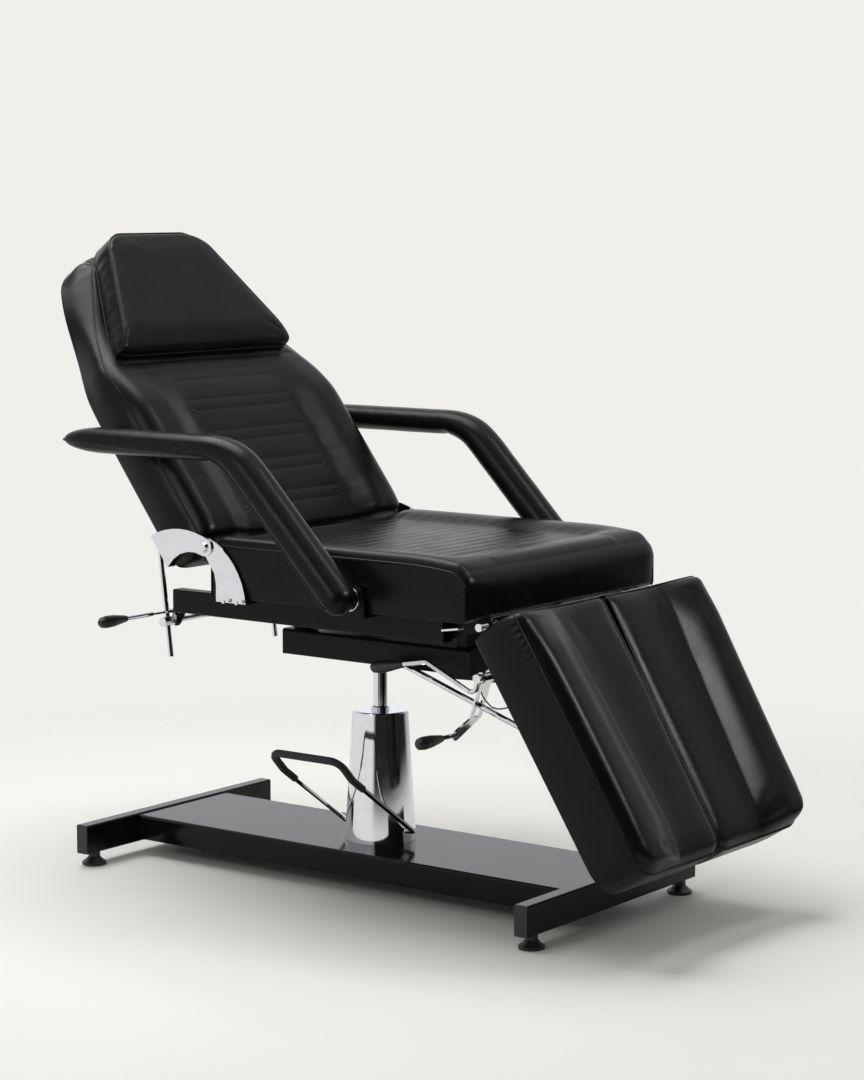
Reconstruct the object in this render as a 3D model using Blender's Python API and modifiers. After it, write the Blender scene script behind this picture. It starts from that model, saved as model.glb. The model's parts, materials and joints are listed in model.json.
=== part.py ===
"""Podiatry chair: hydraulic pump base, reclining back, two hinged leg pads and swinging armrests.

Metres, +Z up. +X points to the foot end, -Y is the near side with the release knobs.
The origin is on the floor, in the middle of the chair's footprint.
"""
import math

import bmesh
import bpy
from mathutils import Matrix, Vector

# Overall places and clearances
PUMP_X = -0.0657              # pump axis, measured from the middle of the footprint
GAP = 0.0003                  # gap between neighbouring pieces
RUNNING = 0.0003              # radial clearance of a pin in its bore
ROD_RUNNING = 0.0005          # radial clearance of a sliding rod in its lock
SIDES = {"near": -1, "far": 1}

# Base
BASE_LENGTH = 1.123
BAR_LENGTH = 0.580
BAR_WIDTH = 0.030
BAR_HEIGHT = 0.060
TUBE_WALL = 0.002
TUBE_CORNER = 0.003
FOLD_RADIUS = 0.005           # outer radius of folded sheet edges
PLATFORM_WIDTH = 0.279
PLATFORM_HEIGHT = 0.050
PLATFORM_STEP = 0.003         # platform top lies this far below the bar tops
PLATFORM_SHEET = 0.003
FOOT_HEIGHT = 0.027
FOOT_RADIUS = 0.025
FOOT_INSET = 0.034            # foot axis from the end of its bar
FOOT_STUD_RADIUS = 0.005
FOOT_STUD_GRIP = 0.012        # length of stud inside the bar
FOOT_HUB_RADIUS = 0.012
FOOT_HUB_HEIGHT = 0.017
FOOT_SKIRT_RADIUS = 0.019
FOOT_SKIRT_HEIGHT = 0.010
FOOT_EDGE = 0.006

# Pump
COVER_BASE_RADIUS = 0.072
COVER_TOP_RADIUS = 0.056
COVER_HEIGHT = 0.2615
COVER_SHEET = 0.0014
COVER_EDGE = 0.003            # rounding of the cover's top edge
PUMP_RADIUS = 0.045
PUMP_HEADROOM = 0.011         # space between pump body and cover
FLANGE_RADIUS = 0.068
FLANGE_HEIGHT = 0.009
GLAND_RADIUS = 0.019
GLAND_PROUD = 0.008           # height of the gland above the cover
PISTON_RADIUS = 0.014
PISTON_IN_PUMP = 0.120        # length of piston inside the pump at rest
PUMP_BORE_DEPTH = 0.215
PEDAL_PIVOT_HEIGHT = 0.022    # pedal pivot above the platform top
PEDAL_HALF_WIDTH = 0.085
PEDAL_ELBOW = (-0.199, 0.1385)   # elbow from the pivot, across and up
PEDAL_TOP = (-0.239, 0.180)      # top bar from the pivot, across and up
PEDAL_ROD_RADIUS = 0.005
PEDAL_GRIP_RADIUS = 0.0078
PEDAL_BEND = 0.022
PEDAL_PIVOT_BEND = 0.008      # tight bend where the rod turns into the pump
PEDAL_GRIP_LEG = 0.040        # length of grip on each arm, beyond the top bend
PEDAL_PIVOT_LENGTH = 0.052    # turned-in end of the rod

# Sub-frame
TRAY_REAR = -0.128
TRAY_FRONT = 0.330
TRAY_HALF_WIDTH = 0.150
TRAY_TOP = 0.516
TRAY_HEIGHT = 0.050
TRAY_SHEET = 0.004
HUB_RADIUS = 0.030
HUB_FLANGE_RADIUS = 0.062
HUB_FLANGE = 0.010
HUB_BOTTOM = 0.440
HUB_SOCKET = 0.030            # depth of piston inside the hub
RISER_HEIGHT = 0.030          # risers between the tray and the cross tubes
RISER_WIDTH = 0.023
RISER_SPAN = (0.085, 0.135)   # each riser, across
CROSS_WIDTH = 0.030           # cross tubes between the rails
CROSS_HEIGHT = 0.025
REAR_CROSS_X = -0.100
FRONT_CROSS_X = 0.300
RAIL_CENTRE_Y = 0.255
RAIL_WIDTH = 0.030
RAIL_HEIGHT = 0.046
RAIL_REAR = -0.309
RAIL_FRONT = 0.355
LUG_THICKNESS = 0.006
LUG_GRIP = 0.035              # length of a hinge lug on its rail
LUG_STEP = 0.006              # lower edge of a hinge lug above the rail's bottom
LUG_FOOT = (0.020, 0.004)     # half width and thickness of the middle lug's foot
OUTRIGGER_Y = 0.138
OUTRIGGER_WIDTH = 0.020
OUTRIGGER_END = -0.398
LOCK_LUG_ROOT = 0.0115
LOCK_LUG_RADIUS = 0.0125
HANGER_LENGTH = 0.085         # plates that carry the leg release shaft
HANGER_RISE = 0.030
HANGER_DROP = 0.010
HANGER_LIP = 0.014
HANGER_EYE = 0.014
MECHANISM_Y = 0.165           # plane of the lock rods

# Seat
SEAT_REAR = -0.166
SEAT_FRONT = 0.443
SEAT_HALF_WIDTH = 0.317
SEAT_BOTTOM_STEP = 0.0025     # cushion's lower edge above the rail tops
SEAT_THICKNESS = 0.106
SEAT_CHANNELS = 14
SEAT_PANEL_FRONT = 0.350
SEAT_PANEL_REAR = -0.120
SEAT_REAR_ROUND = 0.026
SEAT_FRONT_ROUND = 0.045
SEAT_RIM = 0.012              # height of the raised rims beside the panel
SEAT_CROWN = 0.004
SEAT_FRONT_FALL = 0.016       # the front edge lies lower by this
CHANNEL_DEPTH = 0.005
BOARD_THICKNESS = 0.012
BOARD_INSET = 0.024           # board edge inside the cushion's edge

# Back
BACK_HINGE_X = -0.173
BACK_HINGE_Z = 0.692
BACK_ANGLE = 53.2             # degrees above the horizontal
BACK_START = 0.008            # lower end of the cushion from the hinge
BACK_LENGTH = 0.728           # upper end of the cushion from the hinge
BACK_HALF_WIDTH = 0.319
BACK_SHOULDER = 0.405         # where the outline starts to narrow
BACK_CROWN_HALF_WIDTH = 0.186
BACK_LOW_ROUND = 0.024
BACK_TOP_ROUND = 0.050
BACK_BOLSTER = 0.022
BACK_CROWN = 0.003
HEAD_RECESS = 0.029           # the back is thinner by this behind the pillow
BACK_THICKNESS = 0.099
BACK_CHANNELS = 7
BACK_PANEL_START = 0.060
BACK_PANEL_END = 0.400
PILLOW_START = 0.455
PILLOW_LENGTH = 0.283
PILLOW_HALF_WIDTH = 0.262
PILLOW_TOP_HALF_WIDTH = 0.124
PILLOW_THICKNESS = 0.058
PILLOW_ROUND = 0.030
PILLOW_SEAT = -0.0240         # rear face of the pillow, off the hinge plane
HINGE_PLATE = 0.004
SEAT_PLATE_Y = 0.3225         # inner face of the seat's hinge plate
HINGE_BOSS = 0.018
HINGE_PIN_RADIUS = 0.006
SEAT_PLATE_FOOT = (-0.147, -0.073)   # foot of the seat's hinge plate, rear and front

# Back lock
BACK_LOCK_X = -0.419
BACK_LOCK_Z = 0.505
BACK_ROD_SPREAD = 60.6        # angle at the hinge between the lock and the rod's pivot
LOCK_ROD_RADIUS = 0.0055
BACK_ROD_TAIL = 0.072         # rod below the lock at rest
LOCK_SHAFT_RADIUS = 0.006
TRUNNION_RADIUS = 0.010
TRUNNION_LENGTH = 0.028
ROD_EYE_RADIUS = 0.0105
ROD_EYE_LENGTH = 0.015
PIVOT_PIN_RADIUS = 0.004
CLEVIS_PLATE = 0.004
CLEVIS_HALF = 0.022           # half length of a clevis base
CLEVIS_MARGIN = 0.010         # base beyond the ears
CLEVIS_FOOT = 0.018           # half length of an ear at its base
CLEVIS_EYE = 0.0105
PIN_PROUD = 0.002
BACK_LEVER_OFFSET = 0.020     # lever plate above the lock shaft, along the rod
BACK_LEVER_REACH = 0.068      # flat part of the lever
BACK_LEVER_HALF = 0.0075      # half width of the lever at its pivot
LEVER_PIN_RADIUS = 0.002
LEVER_EYE_RADIUS = 0.0045
LEVER_EAR = 0.003             # thickness of the ears that carry the lever
LEVER_STEM_RADIUS = 0.0042
BACK_STEM_LENGTH = 0.066
KNOB_RADIUS = 0.0125
KNOB_LENGTH = 0.078

# Leg pads
LEG_HINGE_X = 0.439
LEG_HINGE_Z = 0.584
LEG_ANGLE = 59.2              # degrees below the horizontal
LEG_START = 0.024
LEG_LENGTH = 0.548
LEG_REAR = 0.018              # rear face in front of the hinge axis
LEG_THICKNESS = 0.100
LEG_OUTER = (0.317, 0.268)    # outer edge at the upper and lower end
LEG_INNER = (0.018, 0.0035)   # inner edge at the upper and lower end
LEG_TOP_ROUND = 0.030
LEG_LOW_ROUND = 0.052
LEG_BOLSTER = 0.0191          # outer bolster of a pad
LEG_BOLSTER_START = 0.18      # inner foot of the bolster, as a share of the half width
LEG_CROWN = 0.004
LEG_HINGE_ROD_RADIUS = 0.006
LEG_ROD_HEAD = (0.0075, 0.003)   # radius and half length of the rod's heads
LEG_HINGE_ROD_HALF = 0.272
LEG_EAR_Y = (0.070, 0.226)    # hinge ears of one pad
LEG_EAR_PLATE = 0.006
LEG_EAR_RADIUS = 0.0095
LEG_BRACKET_END = 0.115
LEG_ROD_PIVOT = (0.279, -0.002)   # rod pivot along the pad and off the hinge plane
LEG_LOCK_X = 0.361
LEG_LOCK_Z = 0.417
LEG_ROD_TAIL = 0.182
LEG_LEVER_ARM = 0.0585        # lever pivot above the rod
LEG_LEVER_PLATE = 0.004
LEG_LEVER_WIDTH = 0.036
LEG_SLOT = (0.013, 0.048)     # slot width and length round the rod
LEVER_BOSS_RADIUS = 0.011
LEG_LEVER_DROP = 0.054        # lower end of the near lever below the rod
LEG_LEVER_OUT = 0.046         # lower end of the near lever outside the rod
LEG_LEVER_TIP = 0.012
LEG_STEM_LENGTH = 0.046
CLAMP_MARGIN = 0.026          # clamp plate below the rod
FAR_LEVER_BENDS = ((0, 0), (-0.010, -0.031), (-0.121, 0.020), (-0.176, 0.010))   # from the shaft
FAR_LEVER_BEND = 0.012
FAR_LEVER_ROD = 0.0047
FAR_LEVER_Y = 0.1922          # plane of the bent lever on the near side

# Armrests
ARM_PIVOT_X = 0.195
ARM_PIVOT_Z = 0.625
ARM_CORNER = (-0.063, 0.891)
ARM_TIP_X = -0.477
ARM_Y = 0.380
ARM_WIDTH = 0.062
ARM_THICKNESS = 0.052
ARM_BEND = 0.085
ARM_DISC_RADIUS = 0.022
ARM_PIN_RADIUS = 0.006
ARM_PIN_DEPTH = 0.026
ARM_BRACKET_WIDTH = 0.046

# Derived heights
BAR_TOP = FOOT_HEIGHT + BAR_HEIGHT
PLATFORM_TOP = BAR_TOP - PLATFORM_STEP
COVER_TOP = PLATFORM_TOP + GAP + COVER_HEIGHT
PUMP_TOP = COVER_TOP - COVER_SHEET - PUMP_HEADROOM
PEDAL_Z = PLATFORM_TOP + PEDAL_PIVOT_HEIGHT
RAIL_BOTTOM = TRAY_TOP + RISER_HEIGHT
CROSS_TOP = RAIL_BOTTOM + CROSS_HEIGHT
RAIL_TOP = RAIL_BOTTOM + RAIL_HEIGHT
RAIL_OUTER = RAIL_CENTRE_Y + RAIL_WIDTH / 2
RAIL_INNER = RAIL_CENTRE_Y - RAIL_WIDTH / 2
SEAT_BOTTOM = RAIL_TOP + SEAT_BOTTOM_STEP
BACK_PLATE_Y = SEAT_PLATE_Y + HINGE_PLATE + GAP
ARM_BRACKET_Y = SEAT_PLATE_Y + HINGE_PLATE
ARM_INNER = ARM_Y - ARM_WIDTH / 2
BACK_LEVER_PIVOT_Y = -(MECHANISM_Y - TRUNNION_LENGTH / 2)

# Derived places of the linkages, as (x, z)
BACK_HINGE = Vector((BACK_HINGE_X, BACK_HINGE_Z))
BACK_LOCK = Vector((BACK_LOCK_X, BACK_LOCK_Z))
BACK_ROD_PIVOT = BACK_HINGE + Matrix.Rotation(math.radians(-BACK_ROD_SPREAD), 2) @ (BACK_LOCK - BACK_HINGE)
LEG_HINGE = Vector((LEG_HINGE_X, LEG_HINGE_Z))
LEG_LOCK = Vector((LEG_LOCK_X, LEG_LOCK_Z))
LEG_ROD_FOOT = LEG_HINGE + Matrix.Rotation(math.radians(-LEG_ANGLE), 2) @ Vector(LEG_ROD_PIVOT)
LEG_ROD_SLOPE = (LEG_ROD_FOOT - LEG_LOCK).normalized()
LEG_LEVER = LEG_LOCK + LEG_LEVER_ARM * Vector((-LEG_ROD_SLOPE.y, LEG_ROD_SLOPE.x))

for old in list(bpy.data.objects):
    bpy.data.objects.remove(old)

PARTS = bpy.data.collections.new("podiatry_chair")
CUTTERS = bpy.data.collections.new("podiatry_chair_cutters")
for group in (PARTS, CUTTERS):
    bpy.context.scene.collection.children.link(group)


def finish(name, colour, roughness, metallic=0.0):
    """A Principled material with one colour."""
    material = bpy.data.materials.new(name)
    material.use_nodes = True
    shader = material.node_tree.nodes["Principled BSDF"]
    shader.inputs["Base Color"].default_value = (*colour, 1.0)
    shader.inputs["Roughness"].default_value = roughness
    shader.inputs["Metallic"].default_value = metallic
    return material


LEATHERETTE = finish("black_leatherette", (0.012, 0.012, 0.013), 0.38)
CHROME = finish("chrome_plated_steel", (0.78, 0.79, 0.80), 0.08, 1.0)
BLACK_STEEL = finish("black_powder_coat", (0.010, 0.010, 0.011), 0.30)
PLYWOOD = finish("black_stained_plywood", (0.020, 0.018, 0.017), 0.60)
RUBBER = finish("black_rubber", (0.014, 0.014, 0.014), 0.70)
PLASTIC = finish("black_plastic", (0.012, 0.012, 0.012), 0.42)


def frame(name, x, y, z, pitch=0.0, turn=0.0):
    """An empty on a joint's axis; pitch tips its +X down, turn spins it about Z first."""
    empty = bpy.data.objects.new(name, None)
    PARTS.objects.link(empty)
    empty.parent = CHAIR if name != "chair_frame" else None
    tilt = Matrix.Rotation(math.radians(pitch), 4, "Y") @ Matrix.Rotation(math.radians(turn), 4, "Z")
    empty.matrix_local = Matrix.Translation((x, y, z)) @ tilt
    return empty


def slope_of(direction):
    """Pitch, in degrees, of a direction given as (x, z)."""
    return math.degrees(math.atan2(-direction[1], direction[0]))


CHAIR = frame("chair_frame", PUMP_X, 0, 0)


def part(name, mesh, material, parent, smooth=True):
    """A named piece of the chair."""
    mesh.name = name
    piece = bpy.data.objects.new(name, mesh)
    PARTS.objects.link(piece)
    piece.parent = parent
    mesh.materials.append(material)
    if smooth:
        mesh.shade_smooth()
        mesh.set_sharp_from_angle(angle=math.radians(35))
    return piece


def combine(piece, mesh, operation):
    """Cut a mesh from a piece or join it to the piece, in the piece's own frame."""
    label = f"{piece.name}_{operation.lower()}_{len(piece.modifiers)}"
    mesh.name = label
    tool = bpy.data.objects.new(label, mesh)
    CUTTERS.objects.link(tool)
    tool.parent = piece.parent
    tool.hide_render = True
    tool.display_type = "WIRE"
    modifier = piece.modifiers.new(label, "BOOLEAN")
    modifier.operation = operation
    modifier.solver = "EXACT"
    modifier.object = tool


def mesh_from(bm):
    """A mesh with outward faces from a bmesh."""
    bmesh.ops.recalc_face_normals(bm, faces=bm.faces)
    mesh = bpy.data.meshes.new("shape")
    bm.to_mesh(mesh)
    bm.free()
    return mesh


def runs_along(edge, axis):
    return abs((edge.verts[0].co - edge.verts[1].co)[axis]) > 1e-6


def block(low, high, corner=0.0, along=None, steps=2):
    """A box between two corners; edges along one axis, or all, are rounded."""
    bm = bmesh.new()
    bmesh.ops.create_cube(bm, size=1.0)
    low, high = Vector(low), Vector(high)
    bmesh.ops.scale(bm, vec=high - low, verts=bm.verts)
    bmesh.ops.translate(bm, vec=(low + high) / 2, verts=bm.verts)
    if corner:
        edges = bm.edges[:]
        if along is not None:
            edges = [e for e in edges if runs_along(e, along)]
        bmesh.ops.bevel(bm, geom=edges, offset=corner, segments=steps, profile=0.5, affect="EDGES")
    return mesh_from(bm)


def open_box(low, high, sheet, open_faces, corner, along):
    """A sheet-metal box with some faces left open; open_faces are (axis, sign) pairs."""
    bm = bmesh.new()
    bm.from_mesh(block(low, high))
    bm.normal_update()
    lost = []
    for axis, sign in open_faces:
        lost += [f for f in bm.faces if f.normal[axis] * sign > 0.99]
    bmesh.ops.delete(bm, geom=lost, context="FACES")
    folds = [e for e in bm.edges if len(e.link_faces) == 2 and runs_along(e, along)]
    bmesh.ops.bevel(bm, geom=folds, offset=corner, segments=2, profile=0.5, affect="EDGES")
    mesh = bpy.data.meshes.new("shape")
    bm.to_mesh(mesh)
    bm.free()
    shell = bpy.data.objects.new("shell", mesh)
    thick = shell.modifiers.new("sheet", "SOLIDIFY")
    thick.thickness = sheet
    thick.offset = -1.0
    thick.use_even_offset = True
    return evaluated(shell)


def evaluated(source):
    """The mesh of a helper object after its modifiers or bevels, welded and closed."""
    bpy.context.scene.collection.objects.link(source)
    graph = bpy.context.evaluated_depsgraph_get()
    mesh = bpy.data.meshes.new_from_object(source.evaluated_get(graph))
    bpy.data.objects.remove(source)
    bm = bmesh.new()
    bm.from_mesh(mesh)
    bmesh.ops.remove_doubles(bm, verts=bm.verts, dist=0.00002)
    bm.to_mesh(mesh)
    bm.free()
    mesh.materials.clear()
    return mesh


def cylinder(start, end, radius, sides=16, end_radius=None):
    """A cylinder or cone between two points."""
    start, end = Vector(start), Vector(end)
    axis = end - start
    bm = bmesh.new()
    bmesh.ops.create_cone(bm, cap_ends=True, segments=sides, radius1=radius,
                          radius2=radius if end_radius is None else end_radius, depth=axis.length)
    turn = Vector((0, 0, 1)).rotation_difference(axis).to_matrix().to_4x4()
    bmesh.ops.transform(bm, matrix=Matrix.Translation((start + end) / 2) @ turn, verts=bm.verts)
    return mesh_from(bm)


def turned(profile, steps=20):
    """A turned solid about Z from a closed or axis-to-axis profile of (radius, height), top first."""
    mesh = bpy.data.meshes.new("profile")
    closed = profile[0][0] > 0
    count = len(profile)
    edges = [(i, i + 1) for i in range(count - 1)] + ([(count - 1, 0)] if closed else [])
    mesh.from_pydata([(r, 0, z) for r, z in profile], edges, [])
    source = bpy.data.objects.new("turned", mesh)
    screw = source.modifiers.new("screw", "SCREW")
    screw.steps = steps
    screw.render_steps = steps
    screw.use_merge_vertices = True
    screw.merge_threshold = 0.00001
    return evaluated(source)


def rod(points, radius, sides=2):
    """A round bar along a path."""
    curve = bpy.data.curves.new("rod", "CURVE")
    curve.dimensions = "3D"
    curve.bevel_depth = radius
    curve.bevel_resolution = sides
    curve.use_fill_caps = True
    spline = curve.splines.new("POLY")
    spline.points.add(len(points) - 1)
    for place, point in zip(spline.points, points):
        place.co = (*point, 1.0)
    return evaluated(bpy.data.objects.new("rod", curve))


def rounded_path(corners, radii, steps=5):
    """A path through corners, each inner corner rounded by an arc of its own radius."""
    corners = [Vector(c) for c in corners]
    path = [corners[0]]
    for before, corner, after, radius in zip(corners, corners[1:], corners[2:], radii):
        back = (before - corner).normalized()
        ahead = (after - corner).normalized()
        half = back.angle(ahead) / 2
        reach = min(radius / math.tan(half), 0.49 * (before - corner).length, 0.49 * (after - corner).length)
        round_radius = reach * math.tan(half)
        centre = corner + (back + ahead).normalized() * round_radius / math.sin(half)
        start = corner + back * reach - centre
        stop = corner + ahead * reach - centre
        sweep = start.angle(stop)
        for i in range(steps + 1):
            share = i / steps
            weight = math.sin(sweep)
            path.append(centre + start * (math.sin((1 - share) * sweep) / weight)
                        + stop * (math.sin(share * sweep) / weight))
    path.append(corners[-1])
    return path


def plate(outline, thickness, offset=0.0, plane="XZ"):
    """A flat plate from an outline; offset is its middle, off the plane."""
    curve = bpy.data.curves.new("outline", "CURVE")
    curve.dimensions = "2D"
    curve.fill_mode = "BOTH"
    curve.extrude = thickness / 2
    spline = curve.splines.new("POLY")
    spline.points.add(len(outline) - 1)
    spline.use_cyclic_u = True
    for place, (u, v) in zip(spline.points, outline):
        place.co = (u, v, 0.0, 1.0)
    mesh = evaluated(bpy.data.objects.new("outline", curve))
    if plane == "XZ":
        turn = Matrix(((1, 0, 0, 0), (0, 0, -1, offset), (0, 1, 0, 0), (0, 0, 0, 1)))
    else:
        turn = Matrix(((0, 0, 1, offset), (1, 0, 0, 0), (0, 1, 0, 0), (0, 0, 0, 1)))
    mesh.transform(turn)
    return mesh


def arc(centre, radius, start, stop, steps=8):
    """Points of an arc, in degrees."""
    angles = [math.radians(start + (stop - start) * i / steps) for i in range(steps + 1)]
    return [(centre[0] + radius * math.cos(a), centre[1] + radius * math.sin(a)) for a in angles]


def arc_through(first, middle, last, steps=8):
    """Points of the arc through three points."""
    a, b, c = (complex(*p) for p in (first, middle, last))
    w = (c - a) / (b - a)
    centre = a + (b - a) * (w - abs(w) ** 2) / (2j * w.imag)
    start = a - centre
    turn = math.atan2(((c - centre) / start).imag, ((c - centre) / start).real)
    spin = [complex(math.cos(turn * i / steps), math.sin(turn * i / steps)) for i in range(steps + 1)]
    return [((centre + start * s).real, (centre + start * s).imag) for s in spin]


def link(first, first_radius, last, last_radius, steps=8):
    """Outline of a link with a round end about each of two points."""
    first, last = Vector(first), Vector(last)
    reach = last - first
    angle = math.degrees(math.atan2(reach.y, reach.x))
    spread = math.degrees(math.acos((first_radius - last_radius) / reach.length))
    outline = arc(first, first_radius, angle + spread, angle + 360 - spread, steps)
    return outline + arc(last, last_radius, angle - spread, angle + spread, steps)


def loft(rings):
    """A closed solid through rings of equal point count."""
    bm = bmesh.new()
    rows = [[bm.verts.new(point) for point in ring] for ring in rings]
    count = len(rows[0])
    for row, following in zip(rows, rows[1:]):
        for i in range(count):
            j = (i + 1) % count
            bm.faces.new((row[i], row[j], following[j], following[i]))
    bm.faces.new(rows[0])
    bm.faces.new(rows[-1])
    return mesh_from(bm)


def pad_ring(x, left, right, rear, seam, relief, steps=12, bulge=0.002):
    """Cross-section of an upholstered pad: flat rear, full sides, seamed edges and a shaped front.

    relief(t) is the front's height above the seam, for t from -1 (left edge) to 1 (right edge).
    """
    middle = (left + right) / 2
    half = (right - left) / 2
    fold = min(0.006, 0.2 * half)
    tall = seam - rear
    ring = [(x, left + fold, rear), (x, middle, rear), (x, right - fold, rear)]
    ring += [(x, right, rear + 0.10 * tall), (x, right + bulge, rear + 0.55 * tall), (x, right, rear + 0.92 * tall)]
    for i in range(steps + 1):
        t = 1 - 2 * i / steps
        ring.append((x, middle + t * (half - 0.2 * fold), seam + relief(t)))
    ring += [(x, left, rear + 0.92 * tall), (x, left - bulge, rear + 0.55 * tall), (x, left, rear + 0.10 * tall)]
    return ring


def round_off(distance, radius):
    """How full a rounded edge is at a distance from the end, from 0 to 1."""
    if distance >= radius:
        return 1.0
    return math.sqrt(max(0.0, 1 - (1 - distance / radius) ** 2))


def ease(share):
    """A smooth step from 0 to 1."""
    share = min(1.0, max(0.0, share))
    return share * share * (3 - 2 * share)


def stations(start, end, radius, marks):
    """Places along a pad: close together on the rounded ends, and at the given marks between."""
    ends = [0.0, 0.12, 0.45, 1.0]
    places = [start + radius * share for share in ends] + [end - radius * share for share in ends]
    return sorted(places + [m for m in marks if start + radius < m < end - radius])


def channel_marks(start, end, count):
    """Crests and seams of sewn channels, as (place, depth share)."""
    pitch = (end - start) / count
    marks = {start + pitch * i: 1.0 for i in range(count + 1)}
    marks.update({start + pitch * (i + 0.5): 0.0 for i in range(count)})
    return marks


def bolster(t, inner, height):
    """Height of a pair of side bolsters: zero at the seam, a round crest, zero at the panel."""
    share = (1 - abs(t)) / (1 - inner)
    return height * math.sin(math.pi * min(1.0, share)) if abs(t) > inner else 0.0


def pocket(piece, low, high):
    """Cut room for a board into the rear of a pad."""
    combine(piece, block([v - GAP for v in low], [v + GAP for v in high]), "DIFFERENCE")


# Base: platform, cross bars and levelling feet
def make_base():
    half = BASE_LENGTH / 2
    inner = half - BAR_WIDTH - GAP
    part("base_platform", open_box((-inner, -PLATFORM_WIDTH / 2, PLATFORM_TOP - PLATFORM_HEIGHT),
                                   (inner, PLATFORM_WIDTH / 2, PLATFORM_TOP), PLATFORM_SHEET,
                                   [(2, -1), (0, 1), (0, -1)], FOLD_RADIUS, 0), BLACK_STEEL, CHAIR)
    foot_y = BAR_LENGTH / 2 - FOOT_INSET
    for end, sign in (("rear", -1), ("front", 1)):
        centre = sign * (half - BAR_WIDTH / 2)
        bar = part(f"{end}_cross_bar", open_box((centre - BAR_WIDTH / 2, -BAR_LENGTH / 2, FOOT_HEIGHT),
                                                (centre + BAR_WIDTH / 2, BAR_LENGTH / 2, BAR_TOP), TUBE_WALL,
                                                [(1, 1), (1, -1)], TUBE_CORNER, 1), BLACK_STEEL, CHAIR)
        for side, way in SIDES.items():
            y = way * foot_y
            hole = cylinder((centre, y, FOOT_HEIGHT - TUBE_WALL), (centre, y, FOOT_HEIGHT + 2 * TUBE_WALL),
                            FOOT_STUD_RADIUS + RUNNING, 12)
            combine(bar, hole, "DIFFERENCE")
            axis = frame(f"{end}_{side}_foot_axis", centre, y, 0)
            part(f"{end}_{side}_levelling_foot", levelling_foot(), PLASTIC, axis)


def levelling_foot():
    neck = FOOT_HEIGHT - GAP
    stud = FOOT_HEIGHT + FOOT_STUD_GRIP
    return turned([(0, stud), (FOOT_STUD_RADIUS, stud), (FOOT_STUD_RADIUS, neck), (FOOT_HUB_RADIUS, neck),
                   (FOOT_HUB_RADIUS, FOOT_HUB_HEIGHT), (FOOT_SKIRT_RADIUS, FOOT_SKIRT_HEIGHT),
                   (FOOT_RADIUS, FOOT_EDGE), (FOOT_RADIUS, 0.0), (0, 0.0)], 16)


# Hydraulic pump: body, chrome cover, gland, piston and pedal
def make_pump():
    floor = PLATFORM_TOP + GAP
    bore = PISTON_RADIUS + RUNNING
    bore_floor = PUMP_TOP - PUMP_BORE_DEPTH
    pump = part("pump_body", turned([(bore, PUMP_TOP), (PUMP_RADIUS, PUMP_TOP), (PUMP_RADIUS, floor + FLANGE_HEIGHT),
                                     (FLANGE_RADIUS, floor + FLANGE_HEIGHT), (FLANGE_RADIUS, floor),
                                     (0.001, floor), (0.001, bore_floor), (bore, bore_floor)], 20),
                BLACK_STEEL, CHAIR)
    hole = GLAND_RADIUS + GAP
    cover = part("pump_cover", turned([(hole, COVER_TOP), (COVER_TOP_RADIUS - COVER_EDGE, COVER_TOP),
                                       (COVER_TOP_RADIUS, COVER_TOP - COVER_EDGE), (COVER_BASE_RADIUS, floor),
                                       (COVER_BASE_RADIUS - COVER_SHEET, floor),
                                       (COVER_TOP_RADIUS - COVER_SHEET, COVER_TOP - COVER_EDGE - COVER_SHEET),
                                       (COVER_TOP_RADIUS - COVER_EDGE - COVER_SHEET, COVER_TOP - COVER_SHEET),
                                       (hole, COVER_TOP - COVER_SHEET)], 32), CHROME, CHAIR)
    for sign in (-1, 1):
        pivot_bore = cylinder((sign * (PEDAL_HALF_WIDTH - PEDAL_PIVOT_LENGTH - GAP), 0, PEDAL_Z),
                              (sign * COVER_BASE_RADIUS * 1.2, 0, PEDAL_Z), PEDAL_ROD_RADIUS + RUNNING, 12)
        combine(pump, pivot_bore, "DIFFERENCE")
        combine(cover, pivot_bore.copy(), "DIFFERENCE")
    gland_top = COVER_TOP + GLAND_PROUD
    part("pump_gland", turned([(bore, gland_top), (GLAND_RADIUS - 0.002, gland_top), (GLAND_RADIUS, gland_top - 0.002),
                               (GLAND_RADIUS, PUMP_TOP + GAP), (bore, PUMP_TOP + GAP)], 20), CHROME, CHAIR)
    piston_top = HUB_BOTTOM + HUB_SOCKET
    piston_foot = PUMP_TOP - PISTON_IN_PUMP
    piston = frame("piston_axis", 0, 0, piston_foot)
    length = piston_top - piston_foot
    part("piston_rod", turned([(0, length), (PISTON_RADIUS - 0.001, length), (PISTON_RADIUS, length - 0.001),
                               (PISTON_RADIUS, 0), (0, 0)], 20), CHROME, piston)


def make_pedal():
    axis = frame("pedal_axis", 0, 0, PEDAL_Z)
    tip = PEDAL_HALF_WIDTH - PEDAL_PIVOT_LENGTH
    half = [(tip, 0, 0), (PEDAL_HALF_WIDTH, 0, 0), (PEDAL_HALF_WIDTH, *PEDAL_ELBOW), (PEDAL_HALF_WIDTH, *PEDAL_TOP)]
    corners = half + [(-x, y, z) for x, y, z in reversed(half)]
    bends = [PEDAL_PIVOT_BEND] + [PEDAL_BEND] * 4 + [PEDAL_PIVOT_BEND]
    path = rounded_path(corners, bends, 4)
    part("pedal_rod", rod(path, PEDAL_ROD_RADIUS), CHROME, axis)
    elbow, top = (Vector((PEDAL_HALF_WIDTH, *p)) for p in (PEDAL_ELBOW, PEDAL_TOP))
    mirror = Vector((-1, 1, 1))
    grip_end = elbow + (Vector((PEDAL_HALF_WIDTH, 0, 0)) - elbow).normalized() * PEDAL_GRIP_LEG
    sleeve = [grip_end, elbow, top, top * mirror, elbow * mirror, grip_end * mirror]
    grip = part("pedal_grip", rod(rounded_path(sleeve, bends[1:5], 4), PEDAL_GRIP_RADIUS), RUBBER, axis)
    combine(grip, rod(path, PEDAL_ROD_RADIUS + RUNNING), "DIFFERENCE")


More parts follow.
